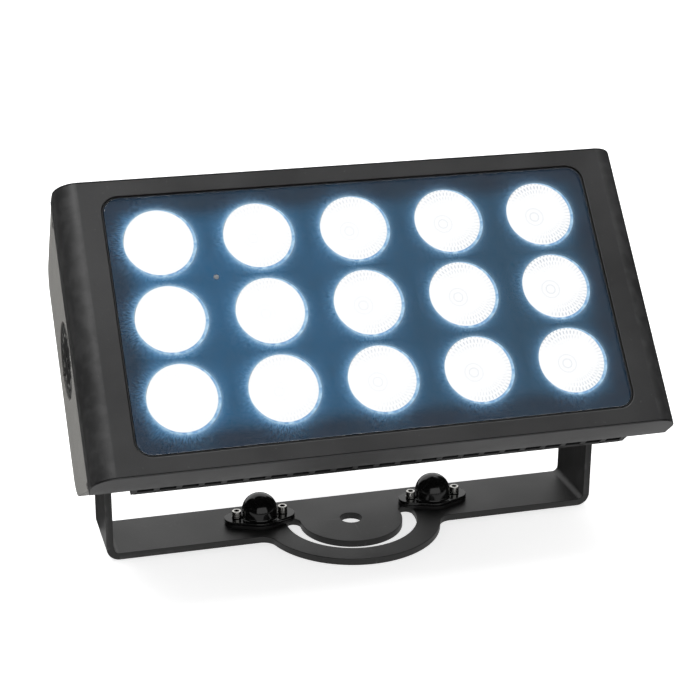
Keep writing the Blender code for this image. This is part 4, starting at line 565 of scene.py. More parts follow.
def add_quick_lock(side, way):
    """Domed cup on its oval flange, the keyed plate under it and their two screws."""
    x = way * CUP_X
    ears = [circle((ear * EAR_OFFSET, 0), EAR_HOLE, 24) for ear in (-1, 1)]
    flange = slab(oval(), FLANGE_LOW, FLANGE_HIGH, 0.35, [circle((0, 0), CUP_RADIUS - CUP_WALL), *ears])
    cam = slab(oval(), CAM_LOW, CAM_HIGH, 0.2, [key_loop(), *ears])
    spot = [(x, CUP_Y, 0)]
    cup = copies(join(flange, dome_surface()), spot)
    make_piece(f"domed_cup_{side}", cup, "gloss", [f"quick_lock_{side}"], "bracket")
    make_piece(f"keyed_plate_{side}", copies(cam, spot), "cam", [f"cam_plate_{side}"], "bracket")
    seat = FLANGE_HIGH + FIT + WASHER[1]
    spots = [(x + ear * EAR_OFFSET, CUP_Y, seat) for ear in (-1, 1)]
    add_screw_pair(f"cup_screws_{side}", f"quick_lock_screw_{side}", M3, seat - FIT, spots,
                   lambda pair: pair, WASHER)


def add_scale_cap(side, way):
    """Disc on the tilt axis with two counterbored screws."""
    seat = CAP_FACE - M4[1] - FIT
    spots = cap_screw_spots()
    bores = []
    for spot in spots:
        narrow, wide = circle(spot, CAP_SCREW_HOLE, 32), circle(spot, M4[0] + 0.2, 32)
        bores.append(step_wall(narrow, wide, CAP_SEAT, seat - FIT, CAP_FACE, 0.15))
    rim = [(0, CAP_SEAT), (0, CAP_FACE - 0.7), (0.2, CAP_FACE - 0.25), (0.7, CAP_FACE)]
    cap = plate([(circle((0, 0), CAP_RADIUS - away, 144), level) for away, level in rim], bores)
    make_piece(f"scale_disc_{side}", outward(cap, way), "yoke", [f"scale_cap_{side}"], "bracket")
    add_screw_pair(f"disc_screws_{side}", f"scale_cap_screw_{side}", M4, CAP_SCREW_LENGTH,
                   [(*spot, seat) for spot in spots], lambda pair: outward(pair, way))


def number_surface(number):
    """A plain number as a thin flat solid about the middle."""
    words = bpy.data.curves.new("number", "FONT")
    words.body = str(number)
    words.size, words.align_x, words.align_y, words.extrude = 3.2, "CENTER", "CENTER", 0.015
    words.resolution_u = 3
    holder = bpy.data.objects.new("number", words)
    bpy.context.scene.collection.objects.link(holder)
    bpy.context.view_layer.update()
    mesh = bpy.data.meshes.new_from_object(holder.evaluated_get(bpy.context.evaluated_depsgraph_get()))
    points = np.array([vertex.co for vertex in mesh.vertices])
    faces = [tuple(face.vertices) for face in mesh.polygons]
    bpy.data.objects.remove(holder)
    bpy.data.curves.remove(words)
    bpy.data.meshes.remove(mesh)
    return points, faces


def add_scale(side, way):
    """Degree lines every ten degrees round the disc, longer every thirty, with plain numbers inside them."""
    face, reach, number_reach = CAP_FACE + 0.02, 19.6, 14.2
    marks = []
    for degrees in range(0, 360, 10):
        length, half = (3.2, 0.16) if degrees % 30 == 0 else (1.9, 0.11)
        turn = math.radians(degrees)
        beside = polar(turn + math.pi / 2, half)
        inner, outer = polar(turn, reach - length), polar(turn, reach)
        loop = np.array([inner - beside, outer - beside, outer + beside, inner + beside])
        marks.append(slab(loop, face, face + 0.03, 0))
    for degrees in range(0, 360, 30):
        points, faces = number_surface(degrees if degrees <= 180 else 360 - degrees)
        away = polar(math.radians(degrees), 1.0)
        across = np.array([away[1], -away[0]])
        spot = points[:, :1] * across * way + points[:, 1:2] * away + number_reach * away
        marks.append((np.column_stack([spot, points[:, 2] + face + 0.015]), faces))
    make_piece(f"degree_scale_{side}", outward(join(*marks), way), "print", body="bracket")


# Head

def bezel_surface():
    """Front frame: its plan (flat front, quarter rounds, sides) is unrolled, filled round the window and
    carried up the height. Its two ends have a fine groove and a round edge, and the window a round lip."""
    turn = np.linspace(0, math.pi / 2, 19)
    half_front = HALF_WIDTH - SIDE_RADIUS
    bow = np.column_stack([half_front + SIDE_RADIUS * np.sin(turn), SIDE_RADIUS * (1 - np.cos(turn))])
    plan = mirrored(np.concatenate([bow, [(HALF_WIDTH, BEZEL_DEPTH)]]))
    out = mirrored(np.concatenate([np.column_stack([np.sin(turn), -np.cos(turn)]), [(1.0, 0.0)]]))
    along = np.concatenate([[0], np.cumsum(np.linalg.norm(np.diff(plan, axis=0), axis=1))])
    along -= along[-1] / 2
    count = len(plan)
    ends = [(1.05, 0), (0.98, 0.05), (0.84, 0.5), (0.58, 0.5), (0.46, 0.05), (0.4, 0), (0.16, 0.06),
            (0.03, 0.17), (0, 0.3)]
    levels = len(ends)
    rows = [np.column_stack([plan - out * below, np.full(count, sign * (HALF_HEIGHT - from_end))])
            for sign in (-1, 1) for from_end, below in ends]
    faces = strips(levels, count, closed=False)
    faces = faces.tolist() + (faces + levels * count).tolist()
    faces += [tuple(range((n * levels - 1) * count, n * levels * count)) for n in (1, 2)]

    opening = oriented(rectangle(*WINDOW, steps=14), False)
    rings = [(inset(opening, WINDOW_LIP * (1 - math.sin(t))), WINDOW_LIP * (1 - math.cos(t)))
             for t in np.linspace(0, math.pi / 2, 6)]
    ledge = inset(opening, -LEDGE)
    rings += [(opening, REBATE_DEPTH), (ledge, REBATE_DEPTH), (ledge, BEZEL_DEPTH)]
    first_ring = 2 * levels * count
    around = len(opening)
    rows += [np.column_stack([loop[:, 0], np.full(around, depth), loop[:, 1]]) for loop, depth in rings]
    faces += (strips(len(rings), around) + first_ring).tolist()

    # The skin between the two ends is filled on its unrolled plan, bent at each point of the quarter rounds
    bottom, top = np.arange(count), np.arange(count) + levels * count
    height = np.full(count, HALF_HEIGHT - ends[0][0])
    flat = np.concatenate([np.column_stack([along, -height]), np.column_stack([along, height])[::-1]])
    ring_ids = np.arange(around) + first_ring
    skin_faces = fill([flat, rings[0][0]], along[1:-1][np.abs(along[1:-1]) > half_front - 1e-6])
    faces += np.concatenate([bottom, top[::-1], ring_ids])[skin_faces].tolist()

    points = np.concatenate(rows)
    left = np.concatenate([np.arange(levels - 1, -1, -1) * count, (np.arange(levels) + levels) * count])
    back = np.concatenate([left, (left + count - 1)[::-1]])
    back_faces = fill([points[back][:, [0, 2]], rings[-1][0]])
    faces += np.concatenate([back, ring_ids + (len(rings) - 1) * around])[back_faces].tolist()
    return on_head(points), faces


def lens_surface():
    """Lens in (across, height, depth): a polar grid whose face carries a product of two cosine waves, round
    and along the radius, that dies out near the centre. Behind the rim it narrows like a cup, by a root."""
    columns, sectors, pitch = 180, 36, 1.7
    bowl_radius, mouth = 9.0, 8.0
    bowl_radii, wave_radii = np.linspace(1.0, bowl_radius, 9), np.linspace(10, 18.6, 22)
    face_radius = np.concatenate([[0], bowl_radii, [9.15, 9.5], wave_radii, [18.9]])
    angle = np.linspace(0, math.tau, columns, endpoint=False)
    r, a = np.meshgrid(face_radius, angle, indexing="ij")
    wave = np.cos(sectors * a) * np.cos(math.tau * r / (2 * pitch)) * np.clip((r - 9.3) / 2, 0, 1)
    bowl = np.where(r < bowl_radius + 0.05, 0.45 - 0.3 * (r / bowl_radius) ** 2, 0.12 * ((r - 14) / 5) ** 2)
    depth = LENS_FACE + 0.1 + bowl - 0.12 * wave * (r < 18.8)
    rim = np.array([(-0.5, 0.0), (-0.15, 0.05), (0.0, 0.2), (0.0, 1.9)]) + [LENS_RADIUS, LENS_FACE]
    fall = np.linspace(0, 1, 9)
    cup_front, cup_length = LENS_FACE + 2.6, LENS_BASE - LENS_FACE - 2.7
    cup = np.column_stack([mouth + 11.0 * np.sqrt(1 - fall), cup_front + cup_length * fall])
    back = np.concatenate([rim, cup, [(mouth, LENS_BASE), (0, LENS_BASE)]])
    r = np.concatenate([r, np.repeat(back[:, :1], columns, axis=1)])
    a = np.concatenate([a, np.repeat(a[:1], len(back), axis=0)])
    depth = np.concatenate([depth, np.repeat(back[:, 1:], columns, axis=1)])
    points = np.stack([r * np.cos(a), r * np.sin(a), depth], axis=-1).reshape(-1, 3)
    return points, strips(len(r), columns).tolist()


def from_front(rings):
    """Rings given by depth, turned to run forwards, so that a pocket opens to the front."""
    return [(loop, -depth) for loop, depth in rings[::-1]]


def panel_surface(opening, spots, sensor):
    """Lens panel with its raised film, its holes and the sensor's well, on eight posts."""
    film, skin = inset(opening, 1.25), inset(opening, LEDGE + FIT)
    outline = [(film, FILM_FRONT), (film, FILM_BACK), (skin, FILM_BACK), (skin, PANEL_BACK)]
    holes = [hole(circle(spot, LENS_RADIUS + FIT, 72), FILM_FRONT, PANEL_BACK, 0.1) for spot in spots]
    ring = circle(sensor, 1.8, 32)[::-1]
    well = [(ring, FILM_FRONT), (ring, 5.0)]
    points, faces = plate(from_front(outline), [from_front(rings) for rings in holes], [from_front(well)])
    pitch_x, pitch_z = LENS_PITCH
    post = rod(POST_RADIUS, PANEL_BACK - 0.2, POST_END)
    places = [((step + 0.5) * pitch_x, LENS_RAISE + way * pitch_z / 2, 0)
              for step in range(-2, 2) for way in (-1, 1)]
    return join((points * [1, 1, -1], faces), copies(post, places))


def add_front():
    """Front frame, gasket, glass, lens panel with its sensor, and the fifteen lenses."""
    make_piece("window_frame", bezel_surface(), "bezel", ["front_bezel"])
    opening = oriented(rectangle(*WINDOW, steps=14), True)
    floor, seat = REBATE_DEPTH - FIT, GLASS_BACK + FIT
    section = [(0.3, 1.15), (0.3, floor), (LEDGE, floor), (LEDGE, seat), (0.9, seat), (0.9, 1.15),
               (0.8, 1.03), (0.4, 1.03)]
    make_piece("glass_gasket", faced(frame_sweep(opening, section)), "rubber", ["window_gasket"])
    pane = slab(inset(opening, 1.2), GLASS_FRONT, GLASS_BACK, 0.3)
    make_piece("window_pane", faced(pane), "glass", ["front_glass"])

    pitch_x, pitch_z = LENS_PITCH
    spots = {(row, column): ((column - 3) * pitch_x, LENS_RAISE + (2 - row) * pitch_z)
             for row in (1, 2, 3) for column in range(1, 6)}
    sensor = (-1.5 * pitch_x, LENS_RAISE + pitch_z / 2)
    panel = panel_surface(opening, spots.values(), sensor)
    make_piece("dark_lens_panel", faced(panel), "panel", ["lens_panel"], place=panel[0])
    dot = turned([(0, 3.6), (0.9, 3.6), (1.3, 3.68), (1.5, 3.9), (1.5, 4.7), (0, 4.7)], 36)
    make_piece("light_sensor", faced(dot, sensor), "sensor", ["panel_sensor"])
    surface = lens_surface()
    for (row, column), spot in spots.items():
        # The grey of the lenses' painted light pattern shows more in lenses further right
        grey_share = np.full(len(surface[0]), 0.14 * column - 0.1)
        make_piece(f"beam_lens_{row}_{column}", faced(surface, spot), "lens", [f"lens_{row}_{column}"],
                   sharp=50, place=surface[0], pattern=grey_share)


def fin_loops():
    """Side views of an outer fin and of one that is cut back for the housing, in (depth, height)."""
    front, inner, clear = SINK_REAR - 0.5, HOUSING_FRONT - FIT, HOUSING[1] / 2 + HOUSING_GAP
    near, far = (INNER_HALF - (depth - BODY_FRONT) * TAPER for depth in (front, SINK_TIPS))
    top = [(inner, clear, 0), (SINK_TIPS, clear, 0), (SINK_TIPS, far, REAR_RADIUS), (front, near, 0)]
    low = [(depth, -height, radius) for depth, height, radius in top[::-1]]
    return side_profile(INNER_HALF, front, SINK_TIPS), rounded(low + top, 12)


def add_heat_sink():
    """Base plate, fins, pivot blocks and screws of the heat sink. The base stops short of the fins' roots
    under the frame, and its rear lip runs past them."""
    half = FIN_THICKNESS / 2
    base = faced(slab(rectangle(2 * HALF_SINK, 2 * SINK_HALF - 6.8), BODY_FRONT, SINK_REAR, 0.2))
    lip = faced(slab(rectangle(2 * HALF_SINK, 2 * SINK_HALF, 2.2), SINK_REAR - 4.4, SINK_REAR, 0.5))
    root = slab(rectangle(FIN_THICKNESS, 2 * SINK_HALF), BODY_FRONT, SINK_REAR - 0.8, 0.3)
    outer, inner = (slab(loop, -half, half, 0.35) for loop in fin_loops())
    solids = [base, lip]
    for index in range(FIN_COUNT):
        x = (index - (FIN_COUNT - 1) / 2) * FIN_PITCH
        shape = inner if abs(x) < HOUSING[0] / 2 + HOUSING_GAP + half else outer
        solids += [faced(root, (x, 0)), sided(copies(shape, [(0, 0, x)]), 1)]
    far = FACE_TO_PIVOT + PIVOT_BLOCK_HALF
    block = rectangle(far - SINK_REAR, 2 * PIVOT_BLOCK_HALF, 1.0, ((far + SINK_REAR) / 2, 0))
    bore = circle((FACE_TO_PIVOT, 0), PIVOT_BORE)
    pivot = slab(block, PIVOT_BLOCK_INNER, HALF_SINK, 0.3, [bore], 0.3)
    solids += [sided(pivot, -1), sided(pivot, 1)]
    solids.append(faced(slab(rectangle(*HOUSING_PAD), SINK_REAR, HOUSING_FRONT - FIT, 0.3)))
    pad = rod(3.2, 74.0, SINK_TIPS - FIT)
    solids += [faced(pad, (EYE[0] + way * FIN_PITCH, EYE[1])) for way in (-1, 1)]
    make_piece("finned_heat_sink", join(*solids), "anodised", ["heat_sink"])
    spots = [(step * FIN_PITCH, way * (HALF_HEIGHT - 6.6)) for step in (-9, -3, 3, 9) for way in (-1, 1)]
    add_screws("frame_screws", M3, 5.0, spots, SINK_REAR)


def add_cheeks():
    """Side cheeks with the opening of the scale disc, an index notch, screw pockets and their feet."""
    outline = side_profile(CHEEK_HALF, BODY_FRONT, BODY_DEPTH, 20)
    spots = [(BODY_FRONT + 2.9, row) for row in (4.2 - CHEEK_HALF, CHEEK_HALF - 10.2)]
    middle = np.array([FACE_TO_PIVOT, 0])
    ring = circle(middle, CAP_HOLE, 180)
    turn = np.arctan2(ring[:, 1], ring[:, 0] - FACE_TO_PIVOT)
    unit = np.column_stack([np.cos(turn), np.sin(turn)])
    reach = CAP_HOLE + 2.6 * np.clip(1 - np.abs(turn) * CAP_HOLE / 1.3, 0, 1)
    notched, rim = (middle + unit * (reach + more)[:, None] for more in (0, 0.3))
    levels = [(ring, CHEEK_INNER), (ring, HALF_WIDTH - 1.6), (notched, HALF_WIDTH - 1.6),
              (notched, HALF_WIDTH - 0.3), (rim, HALF_WIDTH)]
    opening = [(loop[::-1], level) for loop, level in levels]
    pockets = [pocket(circle(spot, 1.95, 28), HALF_WIDTH - 2.3, HALF_WIDTH, 0.15) for spot in spots]
    shell = plate(wall(outline, CHEEK_INNER, HALF_WIDTH, 0.5, 4), [opening], pockets)
    rear = BODY_FRONT + WEB_LENGTH
    web = rounded([(BODY_FRONT, WEB_HEIGHT, 1), (rear, WEB_HEIGHT, 1),
                   (rear, INNER_HALF - WEB_LENGTH * TAPER, 1), (BODY_FRONT, INNER_HALF, 0.5)], 4)
    rear, top = BODY_FRONT + LUG[0], LUG[1] - INNER_HALF
    lug = rounded([(BODY_FRONT, -INNER_HALF, 0), (rear, LUG[0] * TAPER - INNER_HALF, 1), (rear, top, 1),
                   (BODY_FRONT, top, 0)], 4)
    feet = [slab(loop, HALF_SINK + FIT, CHEEK_INNER + FIT, 0.3) for loop in (web, lug)]
    heads = copies(screw(M2, 3.0), [(*spot, HALF_WIDTH - 2.3) for spot in spots])
    for side, way in SIDES:
        make_piece(f"cheek_casting_{side}", sided(join(shell, *feet), way), "cheek", [f"side_cheek_{side}"])
        make_piece(f"cheek_screws_{side}", sided(heads, way), "dark_steel")


def add_housing():
    """Housing with its bosses, rear cover with its screws, and display."""
    width, height, radius = HOUSING
    outside = rectangle(*HOUSING, steps=10)
    inside = rectangle(width - 2 * HOUSING_WALL, height - 2 * HOUSING_WALL, radius - HOUSING_WALL, steps=10)
    tub = plate(wall(outside, HOUSING_FRONT, HOUSING_REAR, 0.5), [],
                [pocket(inside, HOUSING_FRONT + HOUSING_WALL, HOUSING_REAR)])
    spots = [(x, z) for x in (-BOSS_COLUMN, BOSS_COLUMN) for z in (-BOSS_ROW, 0, BOSS_ROW)]
    boss = rod(BOSS_RADIUS, HOUSING_FRONT + HOUSING_WALL, HOUSING_REAR - 0.1)
    bosses = [faced(boss, spot) for spot in spots]
    make_piece("housing_tub", join(faced(tub), *bosses), "cast", ["driver_housing"])

    low, high = COVER_FRONT, COVER_REAR
    sizes = (DISPLAY_HOLE, DISPLAY_RECESS, DISPLAY)
    opening, recess, pane = (rectangle(*size, DISPLAY_SPOT, 4) for size in sizes)
    holes = [step_wall(opening, recess, low, high - 2.2, high, 0.25)]
    holes += [hole(circle((x, BUTTON_ROW), BUTTON_HOLE, 40), low, high, 0.3) for _, x in BUTTONS]
    holes += [hole(circle((x, SOCKET_ROW), SOCKET_HOLE, 64), low, high, 0.2) for _, x in SOCKETS]
    holes += [hole(circle(VENT, VENT_HOLE, 24), low, high, 0.2)]
    make_piece("cover_plate", faced(plate(wall(outside, low, high, 0.9, 5), holes)), "cast", ["rear_cover"])
    add_screws("cover_screws", M3, 13.0, spots, high)
    make_piece("display_pane", faced(slab(pane, high - 1.9, high - 0.3, 0.25)), "display", ["display_window"])


def add_keys():
    """Four round keys with a collar behind the cover and a shallow dish on top."""
    low, top = COVER_FRONT - FIT - 0.9, COVER_REAR + 1.7
    profile = [(0, low), (6.0, low), (6.0, low + 0.9), (4.5, low + 0.9)] + corner(4.5, top, 0.7, 5)
    key = turned(profile + [(3.2, top - 0.04), (2.0, top - 0.22), (0, top - 0.3)], 48)
    for name, x in BUTTONS:
        label = name.replace("button", "key")
        make_piece(label, faced(key, (x, BUTTON_ROW)), "button", [name], name + "_body")


def add_eye():
    """Eye for a safety wire: a base with two screws and a half ring of round rod."""
    low = SINK_TIPS + FIT
    high = low + 3
    base = slab(rectangle(*EYE_BASE, EYE), low, high, 0.5)
    turn = np.linspace(-0.06, math.pi + 0.06, 49)
    depth, height = low + 1.5 + EYE_LOOP * np.sin(turn), EYE[1] + EYE_LOOP * np.cos(turn)
    ring = np.column_stack([np.full(len(turn), EYE[0]), depth, height])
    loop, faces = tube(ring, EYE_ROD, 28)
    make_piece("cable_eye", join(faced(base), (on_head(loop), faces)), "steel", ["safety_eye"])
    add_screws("eye_screws", M3, 12.0, [(EYE[0] + way * FIN_PITCH, EYE[1]) for way in (-1, 1)], high, "steel")


def add_vent():
    """Pressure vent: a threaded stem, a hexagon and a round cap."""
    low = COVER_REAR + FIT
    profile = [(0, COVER_FRONT), (3, COVER_FRONT), (3, low), (6.9, low), (7.0, low + 0.2), (7.0, low + 3.1),
               (6.6, low + 3.5), (5.4, low + 3.5), (5.4, low + 5.5)]
    profile += corner(5.4, low + 6.0, 0.5, 4, 0.2) + [(0, low + 6.0)]
    make_piece("vent_plug", faced(turned(profile, 72, range(3, 7)), VENT), "vent", ["pressure_vent"])


def add_socket(name, x):
    """Round panel socket: a plate with four rounded corners, a collar with a chamfered mouth, and its
    contacts, three blades for power or five pins for data."""
    low = COVER_REAR + FIT
    seat, top = low + 2.5, low + 5.5
    floor = top - 18.0
    profile = [(0, low - 20), (12.0, low - 20), (12.2, low - 19.8), (12.2, low), (11.0, low), (11.0, seat),
               (12.0, seat), (12.0, top - 0.5), (11.85, top - 0.15), (11.5, top), (10.1, top),
               (9.55, top - 0.4), (9.4, top - 0.9), (9.4, floor), (0, floor)]
    middle = circle((0, 0), 11.0, 64)
    parts = [slab(rectangle(*SOCKET_PLATE), low, seat, 0.45, [middle], 0), turned(profile, 72)]
    if name.startswith("power"):
        contact = slab(rectangle(1.6, 4.0, 0.35, steps=3), floor - 0.2, floor + 9, 0.2)
        turns = np.arange(3) * math.tau / 3
        parts.append(slab(rectangle(3.0, 2.2, 0.4, (0, -8.4), 3), floor, top - 1.2, 0.3))
        parts.append(slab(circle((0, 0), 7.6), floor, floor + 5.0, 0.4))
    else:
        contact = turned([(0, floor - 0.2), (0.8, floor - 0.2), (0.8, floor + 8.4), (0.55, floor + 8.8),
                          (0, floor + 9)], 16)
        turns = np.arange(-2, 3) * math.radians(55)
        parts.append(slab(rectangle(2.4, 1.6, 0.3, (0, 8.7), 3), floor, top - 1.0, 0.2))
    spot = np.array([x, SOCKET_ROW])
    make_piece(name + "_shell", faced(join(*parts), spot), "socket", [name])
    contacts = copies(contact, [(*polar(math.pi / 2 + turn, 5.2), 0) for turn in turns])
    make_piece(name + "_contacts", faced(contacts, spot), "contact")
    ends = [spot - SOCKET_SCREW_SPOT, spot + SOCKET_SCREW_SPOT]
    add_screws(name + "_screws", SOCKET_SCREW, 2.0, ends, seat)


# Materials

class Value:
    """Output of a node. Arithmetic with it adds the maths nodes that work out the result."""

    def __init__(self, made, socket):
        self.made = made
        self.socket = socket

    def math(self, operation, *others):
        """This output and others put through a maths node."""
        return self.made.value("Math", 0, dict(enumerate((self, *others))), operation=operation)

    def __add__(self, other):
        return self.math("ADD", other)

    def __sub__(self, other):
        return self.math("SUBTRACT", other)

    def __mul__(self, other):
        return self.math("MULTIPLY", other)

    def __truediv__(self, other):
        return self.math("DIVIDE", other)

    def __pow__(self, other):
        return self.math("POWER", other)

    def span(self, low, high, first=0.0, last=1.0):
        """The value moved smoothly from one range to another, and held at its ends."""
        values = dict(enumerate((self, low, high, first, last)))
        return self.made.value("MapRange", 0, values, interpolation_type="SMOOTHSTEP")


class Nodes:
    """Short way to place nodes in one tree. A value is a number, a colour or an output."""

    def __init__(self, tree):
        self.tree = tree

    def feed(self, sockets, values):
        """Sets or links inputs by name or number."""
        for key, value in values.items():
            if isinstance(value, Value):
                self.tree.links.new(value.socket, sockets[key])
            else:
                sockets[key].default_value = value

    def add(self, kind, values=None, **settings):
        """A node with its settings and inputs."""
        node = self.tree.nodes.new("ShaderNode" + kind)
        for key, setting in settings.items():
            setattr(node, key, setting)
        self.feed(node.inputs, values or {})
        return node

    def value(self, kind, output, values=None, **settings):
        """One output of a new node."""
        return Value(self, self.add(kind, values, **settings).outputs[output])

    def attribute(self, name, output):
        """A value that the mesh keeps at its points."""
        return self.value("Attribute", output, attribute_name=name, attribute_type="GEOMETRY")

    def split(self, vector):
        """The three parts of a vector."""
        return [Value(self, output) for output in self.add("SeparateXYZ", {0: vector}).outputs]

    def noise(self, place, scale, detail=3.0, roughness=0.5):
        """Smooth random value."""
        values = {"Vector": place, "Scale": scale, "Detail": detail, "Roughness": roughness}
        return self.value("TexNoise", "Fac", values)

    def blend(self, share, first, second):
        """Two colours mixed by a share."""
        return self.value("Mix", 2, {0: share, 6: first, 7: second}, data_type="RGBA")


def new_group(name, inputs):
    """Node group that puts out a colour, a roughness and a height. Returns its nodes, inputs and outputs."""
    tree = bpy.data.node_groups.new(name, "ShaderNodeTree")
    for label, kind in {"Place": "Vector", **inputs}.items():
        tree.interface.new_socket(label, in_out="INPUT", socket_type="NodeSocket" + kind)
    for label, kind in {"Colour": "Color", "Roughness": "Float", "Height": "Float"}.items():
        tree.interface.new_socket(label, in_out="OUTPUT", socket_type="NodeSocket" + kind)
    made = Nodes(tree)
    given = {socket.name: Value(made, socket) for socket in tree.nodes.new("NodeGroupInput").outputs}
    return made, given, tree.nodes.new("NodeGroupOutput").inputs


def coat_group():
    """Powder coat: fine grain in height, soft clouds in tone and gloss, pale specks, paler worn edges."""
    inputs = {"Colour": "Color", "Worn": "Color", "Roughness": "Float", "Grain": "Float", "Specks": "Float"}
    made, given, out = new_group("powder coat", inputs)
    place = given["Place"]
    grain = made.noise(place, given["Grain"], 2.0, 0.6)
    clouds = made.noise(place, 14.0, 4.0, 0.55)
    speck = made.noise(place, 620.0, 1.0, 0.4).span(0.74, 0.8) * given["Specks"]
    edge = made.value("NewGeometry", "Pointiness").span(0.53, 0.62)
    worn = edge * made.noise(place, 160.0, 4.0).span(0.4, 0.65, 0.25, 0.8)
    tone = made.blend(clouds.span(0.3, 0.7, 0.0, 0.12), given["Colour"], given["Worn"])
    made.feed(out, {
        "Colour": made.blend(speck.math("MAXIMUM", worn), tone, given["Worn"]),
        "Roughness": given["Roughness"] + clouds.span(0.3, 0.7, -0.05, 0.06) + grain * 0.06,
        "Height": grain,
    })
    return made.tree


def metal_group():
    """Machined metal: fine lines along one direction in height and gloss, with faint stains."""
    made, given, out = new_group("machined metal", {"Colour": "Color", "Roughness": "Float"})
    stretched = made.value("Mapping", 0, {"Vector": given["Place"], "Scale": (1.0, 1.0, 0.06)})
    lines = made.noise(stretched, 900.0, 3.0, 0.6)
    stains = made.noise(given["Place"], 60.0, 4.0, 0.6).span(0.5, 0.75, 0.0, 0.3)
    dark = made.blend(0.6, given["Colour"], (0.02, 0.02, 0.02, 1))
    made.feed(out, {
        "Colour": made.blend(stains, given["Colour"], dark),
        "Roughness": given["Roughness"] + lines.span(0.3, 0.7, -0.06, 0.1),
        "Height": lines,
    })
    return made.tree


def new_finish(name, **sockets):
    """Material with a Principled shader whose plain values are given by name. Returns it, its nodes and its
    shader's inputs."""
    finish = bpy.data.materials.new(name)
    finish.use_nodes = True
    made = Nodes(finish.node_tree)
    inputs = made.tree.nodes["Principled BSDF"].inputs
    made.feed(inputs, {key.replace("_", " "): value for key, value in sockets.items()})
    return finish, made, inputs


def object_place(made):
    """Object coordinates of the piece, which is the row frame in metres."""
    return made.value("TexCoord", "Object")


def grouped(name, group, strength, distance, values, sockets):
    """Material whose colour, gloss and bump come from one of the shared groups."""
    finish, made, shader = new_finish(name, **sockets)
    node = made.add("Group")
    node.node_tree = group
    made.feed(node.inputs, {"Place": object_place(made), **values})
    colour, roughness, height = (Value(made, output) for output in node.outputs)
    bump = made.value("Bump", 0, {"Height": height, "Strength": strength, "Distance": distance * 0.001})
    made.feed(shader, {"Base Color": colour, "Roughness": roughness, "Normal": bump})
    return finish


def panel_finish():
    """Dark blue lens panel whose colour is all emitted: painted light, lighter towards the left, with painted
    shade towards the frame and a painted glow round each lens that fades with distance and breaks into fine
    rays.
    The nearest lens is found by rounding the place to the lenses' pitch."""
    finish, made, shader = new_finish("dark lens panel", Roughness=0.5, Base_Color=(0.002, 0.003, 0.005, 1),
                                      Specular_IOR_Level=0.05)
    place = made.attribute("place", "Vector")
    x, z, _ = made.split(place)
    offsets = []
    for part, pitch, reach in ((x, LENS_PITCH[0], 2.0), (z - LENS_RAISE, LENS_PITCH[1], 1.0)):
        nearest = (part / pitch).math("ROUND").math("MAXIMUM", -reach).math("MINIMUM", reach)
        offsets.append(part - nearest * pitch)
    distance = (offsets[0] ** 2.0 + offsets[1] ** 2.0).math("SQRT")
    away_x, away_z = (offset / distance for offset in offsets)
    unit = made.value("CombineXYZ", 0, {0: away_x, 1: away_z})
    shifted = made.value("VectorMath", 0, {0: place, 1: (0.012, 0.012, 0.0)}, operation="MULTIPLY")
    scattered = made.value("VectorMath", 0, {0: unit, 1: shifted}, operation="ADD")
    # Painted glow round each lens, stronger towards the left; its reach breaks into fine rays
    length = made.noise(scattered, 34.0, 3.0, 0.6).span(0.35, 0.65, 1.2, 3.6)
    fade = ((distance - LENS_RADIUS) / length * -1.0).math("EXPONENT")
    across = x.span(-140.0, 140.0)
    favoured = (away_x * -0.75 + away_z * -0.35).span(-0.7, 0.7, 0.3, 1.0) * across.span(0.0, 1.0, 1.0, 0.6)
    # Painted light: the emitted ground is lighter towards the left
    ground = made.blend(across, (0.012, 0.115, 0.255, 1), (0.012, 0.062, 0.118, 1))
    # Painted shade: darker towards the frame
    edge = x.math("ABSOLUTE").span(117.0, 133.0).math("MAXIMUM", z.math("ABSOLUTE").span(54.0, 67.0))
    with_painted_shade = made.blend(edge * 0.95, ground, (0.001, 0.012, 0.032, 1))
    clouds = made.noise(place, 0.05).span(0.35, 0.7, 0.0, 0.3)
    clouded = made.blend(clouds, with_painted_shade, (0.006, 0.045, 0.085, 1))
    halo = made.blend(fade * favoured, clouded, (0.17, 0.48, 0.88, 1))
    glow = made.blend(fade ** 4.0 * favoured, halo, (0.7, 0.92, 1.0, 1))
    made.feed(shader, {"Emission Color": glow, "Emission Strength": 1.0})
    return finish


